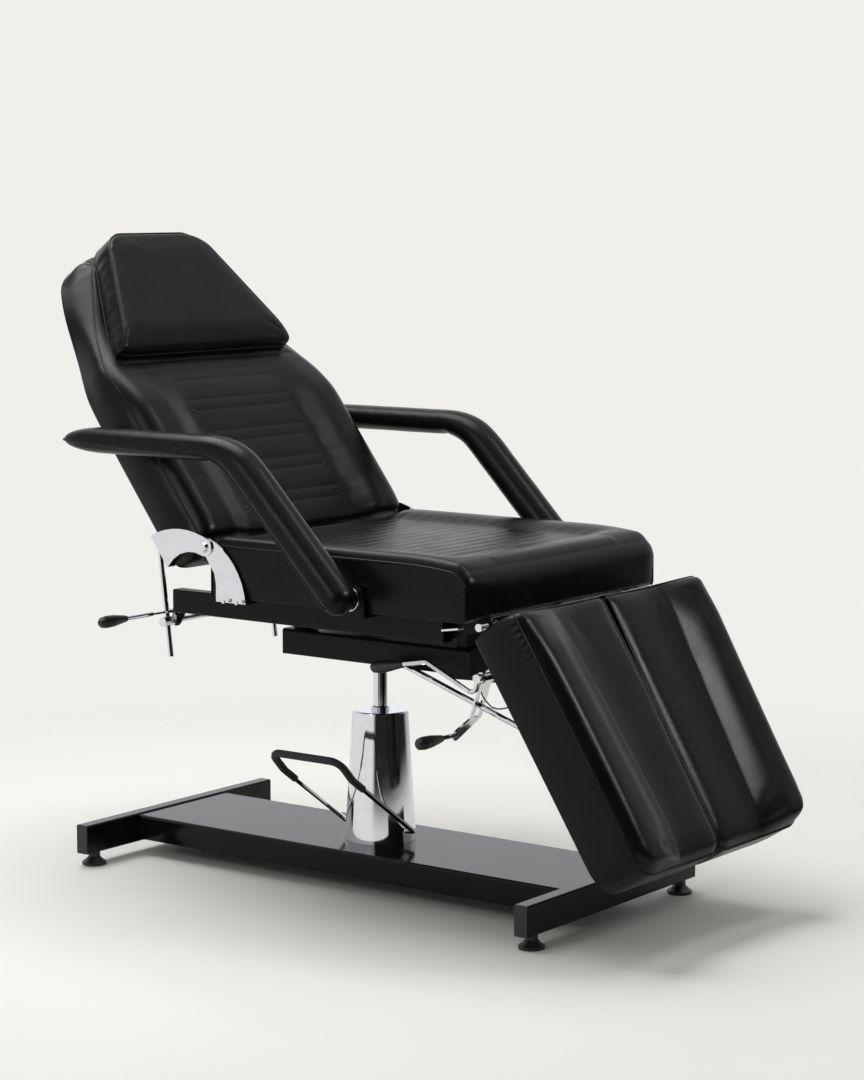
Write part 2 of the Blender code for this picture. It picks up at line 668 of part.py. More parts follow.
# Sub-frame on the piston
def make_subframe():
    part("mounting_tray", open_box((TRAY_REAR, -TRAY_HALF_WIDTH, TRAY_TOP - TRAY_HEIGHT),
                                   (TRAY_FRONT, TRAY_HALF_WIDTH, TRAY_TOP), TRAY_SHEET, [(2, -1)], FOLD_RADIUS, 0),
         BLACK_STEEL, CHAIR)
    ceiling = TRAY_TOP - TRAY_SHEET - GAP
    socket = PISTON_RADIUS + RUNNING
    socket_top = HUB_BOTTOM + HUB_SOCKET + GAP
    part("swivel_hub", turned([(0, ceiling), (HUB_FLANGE_RADIUS, ceiling), (HUB_FLANGE_RADIUS, ceiling - HUB_FLANGE),
                               (HUB_RADIUS, ceiling - HUB_FLANGE - 0.012), (HUB_RADIUS - 0.004, HUB_BOTTOM),
                               (socket, HUB_BOTTOM), (socket, socket_top), (0, socket_top)], 20), BLACK_STEEL, CHAIR)
    for end, x in (("rear", REAR_CROSS_X), ("front", FRONT_CROSS_X)):
        make_cross_tube(f"{end}_cross_tube", x)
    for side, way in SIDES.items():
        make_rail(side, way)
        make_outrigger(side, way)
        make_lock_hanger(side, way)
    make_centre_lug()


def make_cross_tube(name, x):
    """Tube between the rails, standing on the tray by two risers."""
    half, reach = CROSS_WIDTH / 2, RAIL_INNER - GAP
    tube = part(name, open_box((x - half, -reach, RAIL_BOTTOM), (x + half, reach, CROSS_TOP), TUBE_WALL,
                               [(1, 1), (1, -1)], TUBE_CORNER, 1), BLACK_STEEL, CHAIR)
    for way in SIDES.values():
        near, far = sorted(way * edge for edge in RISER_SPAN)
        riser = block((x - RISER_WIDTH / 2, near, TRAY_TOP + GAP),
                      (x + RISER_WIDTH / 2, far, RAIL_BOTTOM + TUBE_WALL / 2))
        combine(tube, riser, "UNION")


def make_rail(side, way):
    y = way * RAIL_CENTRE_Y
    rail = part(f"{side}_rail", open_box((RAIL_REAR, y - RAIL_WIDTH / 2, RAIL_BOTTOM),
                                         (RAIL_FRONT, y + RAIL_WIDTH / 2, RAIL_TOP), TUBE_WALL,
                                         [(0, 1), (0, -1)], TUBE_CORNER, 0), BLACK_STEEL, CHAIR)
    wall = y - way * (RAIL_WIDTH / 2 - TUBE_WALL / 2)
    lug = plate(hinge_lug_outline(RAIL_FRONT - LUG_GRIP), LUG_THICKNESS, wall)
    combine(rail, lug, "UNION")
    combine(rail, leg_hinge_bore(), "DIFFERENCE")


def hinge_lug_outline(start):
    """A lug that reaches forward to the leg hinge and ends round it."""
    crown, foot = RAIL_TOP - LUG_STEP / 2, RAIL_BOTTOM + LUG_STEP
    outline = [(start, crown), (start, foot), (start + LUG_GRIP, foot)]
    return outline + arc(LEG_HINGE, LEG_EAR_RADIUS, -50, 130, 8) + [(LEG_HINGE_X - 2 * LEG_EAR_RADIUS, crown)]


def leg_hinge_bore():
    reach = RAIL_OUTER + LUG_THICKNESS
    return cylinder((LEG_HINGE_X, -reach, LEG_HINGE_Z), (LEG_HINGE_X, reach, LEG_HINGE_Z),
                    LEG_HINGE_ROD_RADIUS + RUNNING, 12)


def make_centre_lug():
    """Bracket on the front cross tube that carries the middle of the leg hinge rod."""
    front = FRONT_CROSS_X + CROSS_WIDTH / 2 + GAP
    half, thick = LUG_FOOT
    bracket = part("centre_hinge_lug", plate(hinge_lug_outline(front), LUG_THICKNESS), BLACK_STEEL, CHAIR)
    foot = block((front, -half, RAIL_BOTTOM + TUBE_WALL), (front + thick, half, CROSS_TOP - TUBE_WALL))
    combine(bracket, foot, "UNION")
    combine(bracket, leg_hinge_bore(), "DIFFERENCE")


def make_outrigger(side, way):
    """Tube behind the rear cross tube whose lug carries the back lock."""
    y = way * OUTRIGGER_Y
    start = REAR_CROSS_X - CROSS_WIDTH / 2 - GAP
    tube = part(f"{side}_outrigger", open_box((OUTRIGGER_END, y - OUTRIGGER_WIDTH / 2, RAIL_BOTTOM),
                                              (start, y + OUTRIGGER_WIDTH / 2, CROSS_TOP), TUBE_WALL,
                                              [(0, 1), (0, -1)], TUBE_CORNER, 0), BLACK_STEEL, CHAIR)
    root = (OUTRIGGER_END + LOCK_LUG_RADIUS, (RAIL_BOTTOM + CROSS_TOP) / 2)
    lug = plate(link(root, LOCK_LUG_ROOT, BACK_LOCK, LOCK_LUG_RADIUS), CLEVIS_PLATE, y)
    combine(tube, lug, "UNION")
    combine(tube, lock_shaft_bore(BACK_LOCK), "DIFFERENCE")


def lock_shaft_bore(place):
    reach = MECHANISM_Y
    return cylinder((place.x, -reach, place.y), (place.x, reach, place.y), LOCK_SHAFT_RADIUS + RUNNING, 12)


def make_lock_hanger(side, way):
    """Plate inside the tray's front corner that carries the leg release shaft."""
    y = way * (TRAY_HALF_WIDTH - TRAY_SHEET - GAP - CLEVIS_PLATE / 2)
    ceiling = TRAY_TOP - FOLD_RADIUS - GAP
    rear = TRAY_FRONT - HANGER_LENGTH
    front = TRAY_FRONT - TRAY_SHEET - GAP
    low = TRAY_TOP - TRAY_HEIGHT
    outline = [(rear, ceiling), (rear, ceiling - HANGER_RISE), (rear + HANGER_RISE, low - HANGER_DROP)]
    outline += arc(LEG_LEVER, HANGER_EYE, -110, 60, 8)
    outline += [(front + HANGER_LIP, low - GAP), (front, low - GAP), (front, ceiling)]
    hanger = part(f"{side}_lock_hanger", plate(outline, CLEVIS_PLATE, y), BLACK_STEEL, CHAIR)
    combine(hanger, lock_shaft_bore(LEG_LEVER), "DIFFERENCE")


# Seat: board, cushion, hinge plates and armrest brackets
def make_seat():
    board_low = (SEAT_REAR + BOARD_INSET, -SEAT_HALF_WIDTH + BOARD_INSET, RAIL_TOP + GAP)
    board_high = (SEAT_FRONT - BOARD_INSET, SEAT_HALF_WIDTH - BOARD_INSET, RAIL_TOP + GAP + BOARD_THICKNESS)
    part("seat_board", block(board_low, board_high, 0.010, 2), PLYWOOD, CHAIR)
    cushion = part("seat_cushion", loft(seat_rings()), LEATHERETTE, CHAIR)
    pocket(cushion, (board_low[0], board_low[1], SEAT_BOTTOM - 0.01), board_high)


def seat_rings():
    channels = channel_marks(SEAT_PANEL_REAR, SEAT_PANEL_FRONT, SEAT_CHANNELS)
    rings = []
    for x in stations(SEAT_REAR, SEAT_FRONT, SEAT_FRONT_ROUND, channels):
        full = min(round_off(x - SEAT_REAR, SEAT_REAR_ROUND), round_off(SEAT_FRONT - x, SEAT_FRONT_ROUND))
        sag = SEAT_FRONT_FALL * max(0.0, (x - SEAT_PANEL_FRONT) / (SEAT_FRONT - SEAT_PANEL_FRONT)) ** 2
        seam = SEAT_BOTTOM + SEAT_THICKNESS * (0.74 + 0.26 * full) - sag
        depth = CHANNEL_DEPTH * channels.get(x, 0.4)
        half = SEAT_HALF_WIDTH - 0.010 * (1 - full)

        def relief(t):
            panel = -depth * min(1.0, max(0.0, (0.70 - abs(t)) / 0.10))
            return full * (bolster(t, 0.66, SEAT_RIM) + SEAT_CROWN * (1 - t * t) + panel)

        rings.append(pad_ring(x, -half, half, SEAT_BOTTOM, seam, relief, 14))
    return rings


def make_hinge_plate(side, way):
    """Crescent plate on the seat frame, with its foot under the seat and the pin of the back hinge."""
    y = way * (SEAT_PLATE_Y + HINGE_PLATE / 2)
    rear, front = SEAT_PLATE_FOOT
    foot = RAIL_TOP - HINGE_PLATE
    shoulder = (BACK_HINGE_X + 0.058, BACK_HINGE_Z - 0.015)
    inner = (BACK_HINGE_X + 0.022, BACK_HINGE_Z - 0.050)
    boss = arc(BACK_HINGE, HINGE_BOSS, 65, 270, 10)
    outer = arc_through((front, foot), shoulder, boss[0], 8)
    outline = outer[:-1] + boss + [inner, (rear, RAIL_TOP + 0.030), (rear, foot)]
    crescent = part(f"{side}_seat_hinge_plate", plate(outline, HINGE_PLATE, y), CHROME, CHAIR)
    combine(crescent, side_foot(way, rear, front, SEAT_PLATE_Y + HINGE_PLATE), "UNION")
    outside = BACK_PLATE_Y + HINGE_PLATE + GAP
    pin = cylinder((BACK_HINGE_X, way * SEAT_PLATE_Y, BACK_HINGE_Z),
                   (BACK_HINGE_X, way * (outside + 0.002), BACK_HINGE_Z), HINGE_PIN_RADIUS, 12)
    head = cylinder((BACK_HINGE_X, way * outside, BACK_HINGE_Z),
                    (BACK_HINGE_X, way * (outside + 0.005), BACK_HINGE_Z), 0.011, 16, 0.008)
    combine(crescent, pin, "UNION")
    combine(crescent, head, "UNION")


def side_foot(way, rear, front, outer):
    """Foot of a side bracket: a strip under the seat's edge, up to the rail's outer face."""
    near, far = sorted((way * (RAIL_OUTER + GAP), way * outer))
    return block((rear, near, RAIL_TOP - HINGE_PLATE), (front, far, RAIL_TOP))


def make_arm_bracket(side, way):
    half = ARM_BRACKET_WIDTH / 2
    foot = RAIL_TOP - HINGE_PLATE
    y = way * (ARM_BRACKET_Y + HINGE_PLATE / 2)
    outline = [(ARM_PIVOT_X - half, foot)]
    outline += [(ARM_PIVOT_X + half, foot)] + arc((ARM_PIVOT_X, ARM_PIVOT_Z), half, 0, 180, 12)
    bracket = part(f"{side}_arm_bracket", plate(outline, HINGE_PLATE, y), BLACK_STEEL, CHAIR)
    strip = side_foot(way, ARM_PIVOT_X - half, ARM_PIVOT_X + half, ARM_BRACKET_Y + HINGE_PLATE)
    combine(bracket, strip, "UNION")
    disc = cylinder((ARM_PIVOT_X, way * (ARM_BRACKET_Y + 0.002), ARM_PIVOT_Z),
                    (ARM_PIVOT_X, way * (ARM_INNER - GAP), ARM_PIVOT_Z), ARM_DISC_RADIUS, 24)
    pin = cylinder((ARM_PIVOT_X, way * (ARM_BRACKET_Y + 0.002), ARM_PIVOT_Z),
                   (ARM_PIVOT_X, way * (ARM_INNER + ARM_PIN_DEPTH), ARM_PIVOT_Z), ARM_PIN_RADIUS, 12)
    combine(bracket, disc, "UNION")
    combine(bracket, pin, "UNION")


def make_armrest(side, way):
    """Padded armrest: rounded section swept from the pivot up to the bend and back to a narrow tip."""
    axis = frame(f"{side}_arm_axis", ARM_PIVOT_X, way * ARM_Y, ARM_PIVOT_Z)
    corner = Vector((ARM_CORNER[0] - ARM_PIVOT_X, 0, ARM_CORNER[1] - ARM_PIVOT_Z))
    slant = corner.normalized()
    tip = Vector((ARM_TIP_X - ARM_PIVOT_X, 0, corner.z))
    end = -slant * ARM_THICKNESS * 0.55
    level = (corner - tip).normalized()
    ends = [end, end * 0.86, end * 0.45, Vector((0, 0, 0)), corner * 0.5]
    bend = rounded_path([corner * 0.4, corner, tip], [ARM_BEND], 5)[1:-1]
    tail = [tip + level * reach for reach in (0.150, 0.060, 0.030, 0.010, 0.0)]
    path = ends + bend + tail
    sizes = [0.45, 0.78, 0.97] + [1.0] * (len(path) - 7) + [0.86, 0.68, 0.46, 0.26]
    rings = []
    for i, (point, size) in enumerate(zip(path, sizes)):
        ahead = (path[min(i + 1, len(path) - 1)] - path[max(i - 1, 0)]).normalized()
        up = Vector((ahead.z, 0, -ahead.x))
        rings.append([point + up * (v * size) + Vector((0, u * size, 0)) for u, v in arm_section()])
    pad = part(f"{side}_armrest", loft(rings), LEATHERETTE, axis)
    bore = cylinder((0, -way * ARM_WIDTH, 0), (0, way * (ARM_PIN_DEPTH - ARM_WIDTH / 2 + GAP), 0),
                    ARM_PIN_RADIUS + RUNNING, 12)
    combine(pad, bore, "DIFFERENCE")


def arm_section():
    """Rounded section of an armrest: flat inner and outer sides, full top and bottom."""
    half, tall = ARM_WIDTH / 2, ARM_THICKNESS / 2
    section = []
    for i in range(14):
        angle = 2 * math.pi * (i + 0.5) / 14
        c, s = math.cos(angle), math.sin(angle)
        section.append((half * math.copysign(abs(c) ** 0.55, c), tall * math.copysign(abs(s) ** 0.62, s)))
    return section


# Back: board, cushion, hinge plates, rod clevises and pillow
BACK = frame("back_axis", BACK_HINGE_X, 0, BACK_HINGE_Z, BACK_ANGLE, 180)
BACK_BOARD_REAR = -BACK_THICKNESS - GAP


def back_half_width(a):
    """Half width of the back: straight, then narrowing to a rounded crown."""
    if a <= BACK_SHOULDER:
        return BACK_HALF_WIDTH
    share = (a - BACK_SHOULDER) / (BACK_LENGTH - BACK_SHOULDER)
    start = min(1.0, share * 6)
    return BACK_HALF_WIDTH - (BACK_HALF_WIDTH - BACK_CROWN_HALF_WIDTH) * share * (0.6 + 0.4 * start)


def back_rings():
    channels = channel_marks(BACK_PANEL_START, BACK_PANEL_END, BACK_CHANNELS)
    head = BACK_LENGTH - BACK_PANEL_END
    marks = list(channels) + [BACK_PANEL_END + head * share for share in (0.12, 0.30, 0.55, 0.75)]
    rings = []
    for a in stations(BACK_START, BACK_LENGTH, BACK_TOP_ROUND, marks):
        low = round_off(a - BACK_START, BACK_LOW_ROUND)
        top = round_off(BACK_LENGTH - a, BACK_TOP_ROUND)
        full = min(low, top)
        half = back_half_width(a) - 0.065 * (1 - top) - 0.006 * (1 - low)
        recess = HEAD_RECESS * ease((a - BACK_PANEL_END + 0.03) / 0.075)
        seam = -recess - (BACK_THICKNESS - recess) * 0.30 * (1 - full)
        depth = CHANNEL_DEPTH * channels.get(a, 0.0)
        fade = max(0.0, min(1.0, (PILLOW_START - a) / 0.08))

        def relief(t):
            panel = -depth * min(1.0, max(0.0, (0.62 - abs(t)) / 0.08))
            return full * (fade * bolster(t, 0.58, BACK_BOLSTER) + BACK_CROWN * (1 - t * t) + panel)

        rings.append(pad_ring(a, -half, half, -BACK_THICKNESS, seam, relief, 14))
    return rings


def make_back():
    start, end = BACK_START + BOARD_INSET, BACK_LENGTH - 2 * BOARD_INSET
    rear, face = BACK_BOARD_REAR - 0.0005, BACK_BOARD_REAR + BOARD_THICKNESS
    half = BACK_HALF_WIDTH - BOARD_INSET
    crown = BACK_CROWN_HALF_WIDTH - BOARD_INSET
    outline = [(start, -half), (BACK_SHOULDER, -half), (end, -crown), (end, crown), (BACK_SHOULDER, half), (start, half)]
    middle = (rear + face) / 2
    board = flat_board(outline, face - rear, middle)
    part("back_board", board, PLYWOOD, BACK)
    cushion = part("back_cushion", loft(back_rings()), LEATHERETTE, BACK)
    room = [(x + (GAP if x > 0.1 else -GAP), y + math.copysign(GAP, y)) for x, y in outline]
    combine(cushion, flat_board(room, face - rear + 2 * GAP + 0.004, middle - 0.002), "DIFFERENCE")
    for side, way in SIDES.items():
        make_back_plate(side, -way)
        make_clevis(f"{side}_back_rod_clevis", BACK, back_frame_point(BACK_ROD_PIVOT), -way, rear - GAP, -1)


def flat_board(outline, thickness, middle):
    """A board in the pad's own plane, from an outline along and across it."""
    mesh = plate(outline, thickness, 0.0)
    mesh.transform(Matrix(((1, 0, 0, 0), (0, 0, 1, 0), (0, -1, 0, middle), (0, 0, 0, 1))))
    return mesh


def back_frame_point(place):
    """A place (x, z) of the chair, along the back and off its hinge plane."""
    reach = place - BACK_HINGE
    angle = math.radians(BACK_ANGLE)
    along = Vector((-math.cos(angle), math.sin(angle)))
    front = Vector((math.sin(angle), math.cos(angle)))
    return Vector((reach.dot(along), reach.dot(front)))


def make_back_plate(side, way):
    """Crescent plate from the hinge pin to the back's lower rear edge, with a foot behind the board."""
    rear = BACK_BOARD_REAR - 0.0005 - GAP
    start, end = 0.020, 0.092
    boss = arc((0, 0), HINGE_BOSS, 230, 75, 10)
    outer = arc_through(boss[-1], (0.068, -0.040), (end, rear), 8)
    inner = arc_through((start, rear), (0.023, -0.062), boss[0], 5)
    y = way * (BACK_PLATE_Y + HINGE_PLATE / 2)
    crescent = part(f"{side}_back_hinge_plate", plate(boss + outer[1:] + inner[:-1], HINGE_PLATE, y), CHROME, BACK)
    outside = BACK_PLATE_Y + HINGE_PLATE
    near, far = sorted((way * (RAIL_OUTER + 0.003), way * outside))
    combine(crescent, block((start, near, rear - HINGE_PLATE), (end, far, rear)), "UNION")
    hole = cylinder((0, way * (BACK_PLATE_Y - 0.002), 0), (0, way * (outside + 0.002), 0),
                    HINGE_PIN_RADIUS + RUNNING, 12)
    combine(crescent, hole, "DIFFERENCE")


def make_clevis(name, parent, pivot, way, board_face, out):
    """Bracket on a board: a base plate, two ears and the pin of a rod's eye; out is the way it stands."""
    y = way * MECHANISM_Y
    low, high = sorted((board_face, board_face + out * CLEVIS_PLATE))
    inner = ROD_EYE_LENGTH / 2 + GAP
    outer = inner + CLEVIS_PLATE
    wide = outer + CLEVIS_MARGIN
    base = block((pivot.x - CLEVIS_HALF, y - wide, low), (pivot.x + CLEVIS_HALF, y + wide, high))
    bracket = part(name, base, BLACK_STEEL, parent)
    seat = (pivot.x, (low + high) / 2)
    for sign in (-1, 1):
        ear = plate(ear_outline(seat, pivot), CLEVIS_PLATE, y + sign * (inner + CLEVIS_PLATE / 2))
        combine(bracket, ear, "UNION")
    reach = outer + PIN_PROUD
    pin = cylinder((pivot.x, y - reach, pivot.y), (pivot.x, y + reach, pivot.y), PIVOT_PIN_RADIUS, 12)
    combine(bracket, pin, "UNION")


def ear_outline(seat, pivot):
    """An ear with a wide foot on its base and a round end about the pin."""
    rise = pivot.y - seat[1]
    turn = 90 if rise > 0 else -90
    tip = arc(pivot, CLEVIS_EYE, turn - 90, turn + 90, 8)
    foot = [(seat[0] + CLEVIS_FOOT, seat[1]), (seat[0] - CLEVIS_FOOT, seat[1])]
    return (tip + foot[::-1]) if rise > 0 else (tip + foot)


def make_pillow():
    slide = frame("pillow_axis", BACK_HINGE_X, 0, BACK_HINGE_Z, BACK_ANGLE, 180)
    end = PILLOW_START + PILLOW_LENGTH
    marks = [PILLOW_START + PILLOW_LENGTH * share for share in (0.3, 0.5, 0.7)]
    rings = []
    for a in stations(PILLOW_START, end, PILLOW_ROUND, marks):
        full = round_off(min(a - PILLOW_START, end - a), PILLOW_ROUND)
        share = (a - PILLOW_START) / PILLOW_LENGTH
        half = PILLOW_HALF_WIDTH + (PILLOW_TOP_HALF_WIDTH - PILLOW_HALF_WIDTH) * share - 0.022 * (1 - full)
        seam = PILLOW_SEAT + PILLOW_THICKNESS * (0.45 + 0.30 * full)

        def relief(t):
            return PILLOW_THICKNESS * 0.25 * full * (1 - abs(t) ** 2.4)

        rings.append(pad_ring(a, -half, half, PILLOW_SEAT, seam, relief, 10))
    part("head_pillow", loft(rings), LEATHERETTE, slide)


# Back lock: rods hinged on the back, trunnions on a cross shaft, release lever
def make_back_lock():
    down = BACK_LOCK - BACK_ROD_PIVOT
    pitch = slope_of(down)
    for side, way in SIDES.items():
        axis = frame(f"{side}_back_rod_axis", BACK_ROD_PIVOT.x, way * MECHANISM_Y, BACK_ROD_PIVOT.y, pitch)
        make_lock_rod(f"{side}_back_rod", axis, down.length + BACK_ROD_TAIL)
    axis = frame("back_lock_axis", BACK_LOCK.x, 0, BACK_LOCK.y, pitch)
    edge = MECHANISM_Y + TRUNNION_LENGTH / 2
    lock = part("back_lock_shaft", cylinder((0, -edge, 0), (0, edge, 0), LOCK_SHAFT_RADIUS, 16), CHROME, axis)
    for way in SIDES.values():
        near, far = way * (MECHANISM_Y - TRUNNION_LENGTH / 2), way * (edge + 0.002)
        combine(lock, cylinder((0, near, 0), (0, far, 0), TRUNNION_RADIUS, 16), "UNION")
    add_lever_ears(lock)
    for way in SIDES.values():
        y = way * MECHANISM_Y
        bore = cylinder((-0.03, y, 0), (0.03, y, 0), LOCK_ROD_RADIUS + ROD_RUNNING, 16)
        combine(lock, bore, "DIFFERENCE")
    make_back_lever(pitch, down.normalized())


def add_lever_ears(lock):
    """Two ears on the near trunnion with a pin between them, for the release lever."""
    root = (0, BACK_LEVER_PIVOT_Y - 0.007)
    pivot = (-BACK_LEVER_OFFSET, BACK_LEVER_PIVOT_Y)
    inner = BACK_LEVER_HALF + 0.002
    outer = inner + LEVER_EAR
    for sign in (-1, 1):
        ear = flat_board(link(root, 0.005, pivot, LEVER_EYE_RADIUS), LEVER_EAR, sign * (inner + outer) / 2)
        combine(lock, ear, "UNION")
    combine(lock, cylinder((*pivot, -outer + 0.001), (*pivot, outer - 0.001), LEVER_PIN_RADIUS, 10), "UNION")


def make_lock_rod(name, axis, length):
    """A polished rod with a cross-bored eye at its pivot, running along the frame's +X."""
    bar = part(name, cylinder((0, 0, 0), (length, 0, 0), LOCK_ROD_RADIUS, 16), CHROME, axis)
    half = ROD_EYE_LENGTH / 2
    combine(bar, cylinder((0, -half, 0), (0, half, 0), ROD_EYE_RADIUS, 16), "UNION")
    combine(bar, cylinder((0, -2 * half, 0), (0, 2 * half, 0), PIVOT_PIN_RADIUS + RUNNING, 12), "DIFFERENCE")


def make_back_lever(pitch, down):
    """Flat clamp plate round the near rod, with a stem and knob out to the near side."""
    place = BACK_LOCK - down * BACK_LEVER_OFFSET
    axis = frame("back_lever_axis", place.x, BACK_LEVER_PIVOT_Y, place.y, pitch)
    rod_y = -TRUNNION_LENGTH / 2
    half = BACK_LEVER_HALF
    outline = [(0.003, -half), (0.003, half)] + [(rod_y - 0.016, 0.011)]
    outline += arc((-BACK_LEVER_REACH, 0), 0.006, 90, 270, 6) + [(rod_y - 0.016, -0.011)]
    lever = part("back_lever", plate(outline, LEG_LEVER_PLATE, 0.0, "YZ"), CHROME, axis)
    combine(lever, cylinder((0, 0, -half), (0, 0, half), LEVER_EYE_RADIUS, 12), "UNION")
    combine(lever, cylinder((0, 0, -0.02), (0, 0, 0.02), LEVER_PIN_RADIUS + RUNNING, 10), "DIFFERENCE")
    combine(lever, cylinder((-0.02, rod_y, 0), (0.02, rod_y, 0), LOCK_ROD_RADIUS + 0.0022, 16), "DIFFERENCE")
    stem_end = -BACK_LEVER_REACH - BACK_STEM_LENGTH
    combine(lever, cylinder((0, -BACK_LEVER_REACH + 0.012, 0), (0, stem_end, 0), LEVER_STEM_RADIUS, 10), "UNION")
    make_knob("back_lever_knob", axis, Vector((0, stem_end, 0)), Vector((0, -1, 0)))


def make_knob(name, parent, root, way):
    """A drop-shaped plastic knob over the end of a stem."""
    length, radius = KNOB_LENGTH, KNOB_RADIUS
    shape = [(0, length), (0.50 * radius, 0.975 * length), (0.86 * radius, 0.90 * length), (radius, 0.74 * length),
             (0.94 * radius, 0.48 * length), (0.66 * radius, 0.16 * length), (0.50 * radius, GAP), (0, GAP)]
    mesh = turned(shape, 16)
    mesh.transform(Matrix.Translation(root) @ Vector((0, 0, 1)).rotation_difference(way).to_matrix().to_4x4())
    part(name, mesh, PLASTIC, parent)


# Leg pads: board, cushion, hinge bracket, rod clevis
def leg_edges(a):
    """Inner and outer edge of a leg pad at a place along it."""
    share = (a - LEG_START) / (LEG_LENGTH - LEG_START)
    return (LEG_INNER[0] + (LEG_INNER[1] - LEG_INNER[0]) * share,
            LEG_OUTER[0] + (LEG_OUTER[1] - LEG_OUTER[0]) * share)


def leg_rings(way):
    marks = [LEG_START + LEG_LENGTH * share for share in (0.25, 0.42, 0.6, 0.78)]
    rings = []
    for a in stations(LEG_START, LEG_LENGTH, LEG_LOW_ROUND, marks):
        top = round_off(a - LEG_START, LEG_TOP_ROUND)
        low = round_off(LEG_LENGTH - a, LEG_LOW_ROUND)
        full = min(top, low)
        inner, outer = leg_edges(a)
        inner += 0.004 * (1 - top) + 0.030 * (1 - low)
        outer -= 0.010 * (1 - top) + 0.034 * (1 - low)
        seam = LEG_REAR + LEG_THICKNESS * (0.70 + 0.30 * full)
        left, right = sorted((way * inner, way * outer))

        def relief(t):
            share = (t * way - LEG_BOLSTER_START) / (1 - LEG_BOLSTER_START)
            ridge = LEG_BOLSTER * math.sin(math.pi * share) if share > 0 else 0.0
            return full * (ridge + LEG_CROWN * (1 - t * t))

        rings.append(pad_ring(a, left, right, LEG_REAR, seam, relief, 12))
    return rings


def make_leg(side, way):
    axis = frame(f"{side}_leg_axis", LEG_HINGE_X, 0, LEG_HINGE_Z, LEG_ANGLE)
    rear = LEG_REAR - 0.002
    face = rear + BOARD_THICKNESS
    start, end = LEG_START + BOARD_INSET, LEG_LENGTH - 2 * BOARD_INSET
    corners = []
    for a in (start, end):
        inner, outer = leg_edges(a)
        corners.append((way * (inner + BOARD_INSET), way * (outer - BOARD_INSET)))
    (a_in, a_out), (b_in, b_out) = corners
    outline = [(start, a_in), (end, b_in), (end, b_out), (start, a_out)]
    part(f"{side}_leg_board", flat_board(outline, BOARD_THICKNESS, (rear + face) / 2), PLYWOOD, axis)
    cushion = part(f"{side}_leg_cushion", loft(leg_rings(way)), LEATHERETTE, axis)
    grow = GAP * way
    room = [(start - GAP, a_in - grow), (end + GAP, b_in - grow), (end + GAP, b_out + grow), (start - GAP, a_out + grow)]
    combine(cushion, flat_board(room, BOARD_THICKNESS + 2 * GAP + 0.004, (rear + face) / 2 - 0.002), "DIFFERENCE")
    make_leg_bracket(side, way, axis, rear - GAP)
    make_clevis(f"{side}_leg_rod_clevis", axis, Vector(LEG_ROD_PIVOT), way, rear - GAP, -1)


def make_leg_bracket(side, way, axis, board_face):
    """Hinge bracket: a plate on the board with two ears that turn on the leg hinge rod."""
    start = LEG_START + BOARD_INSET + 0.004
    inner, outer = LEG_EAR_Y
    low, high = sorted((way * (inner - LEG_EAR_PLATE / 2), way * (outer + LEG_EAR_PLATE / 2)))
    base = board_face - CLEVIS_PLATE
    bracket = part(f"{side}_leg_bracket", block((start, low, base), (LEG_BRACKET_END, high, board_face)), CHROME, axis)
    for y in LEG_EAR_Y:
        ear = [(LEG_BRACKET_END - 0.02, base + 0.002)] + [(start + 0.004, board_face - 0.001), (0.010, 0.0085)]
        ear += arc((0, 0), LEG_EAR_RADIUS, 60, 270, 10) + [(0.050, -LEG_EAR_RADIUS)]
        combine(bracket, plate(ear, LEG_EAR_PLATE, way * y), "UNION")
    hole = cylinder((0, way * (inner - 0.02), 0), (0, way * (outer + 0.02), 0), LEG_HINGE_ROD_RADIUS + RUNNING, 12)
    combine(bracket, hole, "DIFFERENCE")


def make_leg_hinge_rod():
    half = LEG_HINGE_ROD_HALF
    bar = part("leg_hinge_rod", cylinder((LEG_HINGE_X, -half, LEG_HINGE_Z), (LEG_HINGE_X, half, LEG_HINGE_Z),
                                         LEG_HINGE_ROD_RADIUS, 12), CHROME, CHAIR)
    for sign in SIDES.values():
        radius, grip = LEG_ROD_HEAD
        head = cylinder((LEG_HINGE_X, sign * (half - grip), LEG_HINGE_Z),
                        (LEG_HINGE_X, sign * (half + grip), LEG_HINGE_Z), radius, 12)
        combine(bar, head, "UNION")


# Leg locks: rods hinged on the pads, slotted clamp plates on the release shaft
def make_leg_locks():
    up = LEG_LOCK - LEG_ROD_FOOT
    for side, way in SIDES.items():
        axis = frame(f"{side}_leg_rod_axis", LEG_ROD_FOOT.x, way * MECHANISM_Y, LEG_ROD_FOOT.y, slope_of(up))
        make_lock_rod(f"{side}_leg_rod", axis, up.length + LEG_ROD_TAIL)
    pitch = slope_of(LEG_ROD_SLOPE)
    make_near_leg_lever(pitch)
    make_far_leg_lever(pitch)


def clamp_plate(y, tail):
    """Slotted clamp plate hung from the release shaft; the tail's points are added to its lower end."""
    half = LEG_LEVER_WIDTH / 2
    foot = -LEG_LEVER_ARM - CLAMP_MARGIN
    outline = arc((y, 0), half, 180, 0, 10) + [(y + half, foot)] + tail + [(y - half, foot)]
    return plate(outline, LEG_LEVER_PLATE, 0.0, "YZ")


def clamp_slot(y):
    width, length = LEG_SLOT
    return block((-0.02, y - width / 2, -LEG_LEVER_ARM - length / 2), (0.02, y + width / 2, -LEG_LEVER_ARM + length / 2))


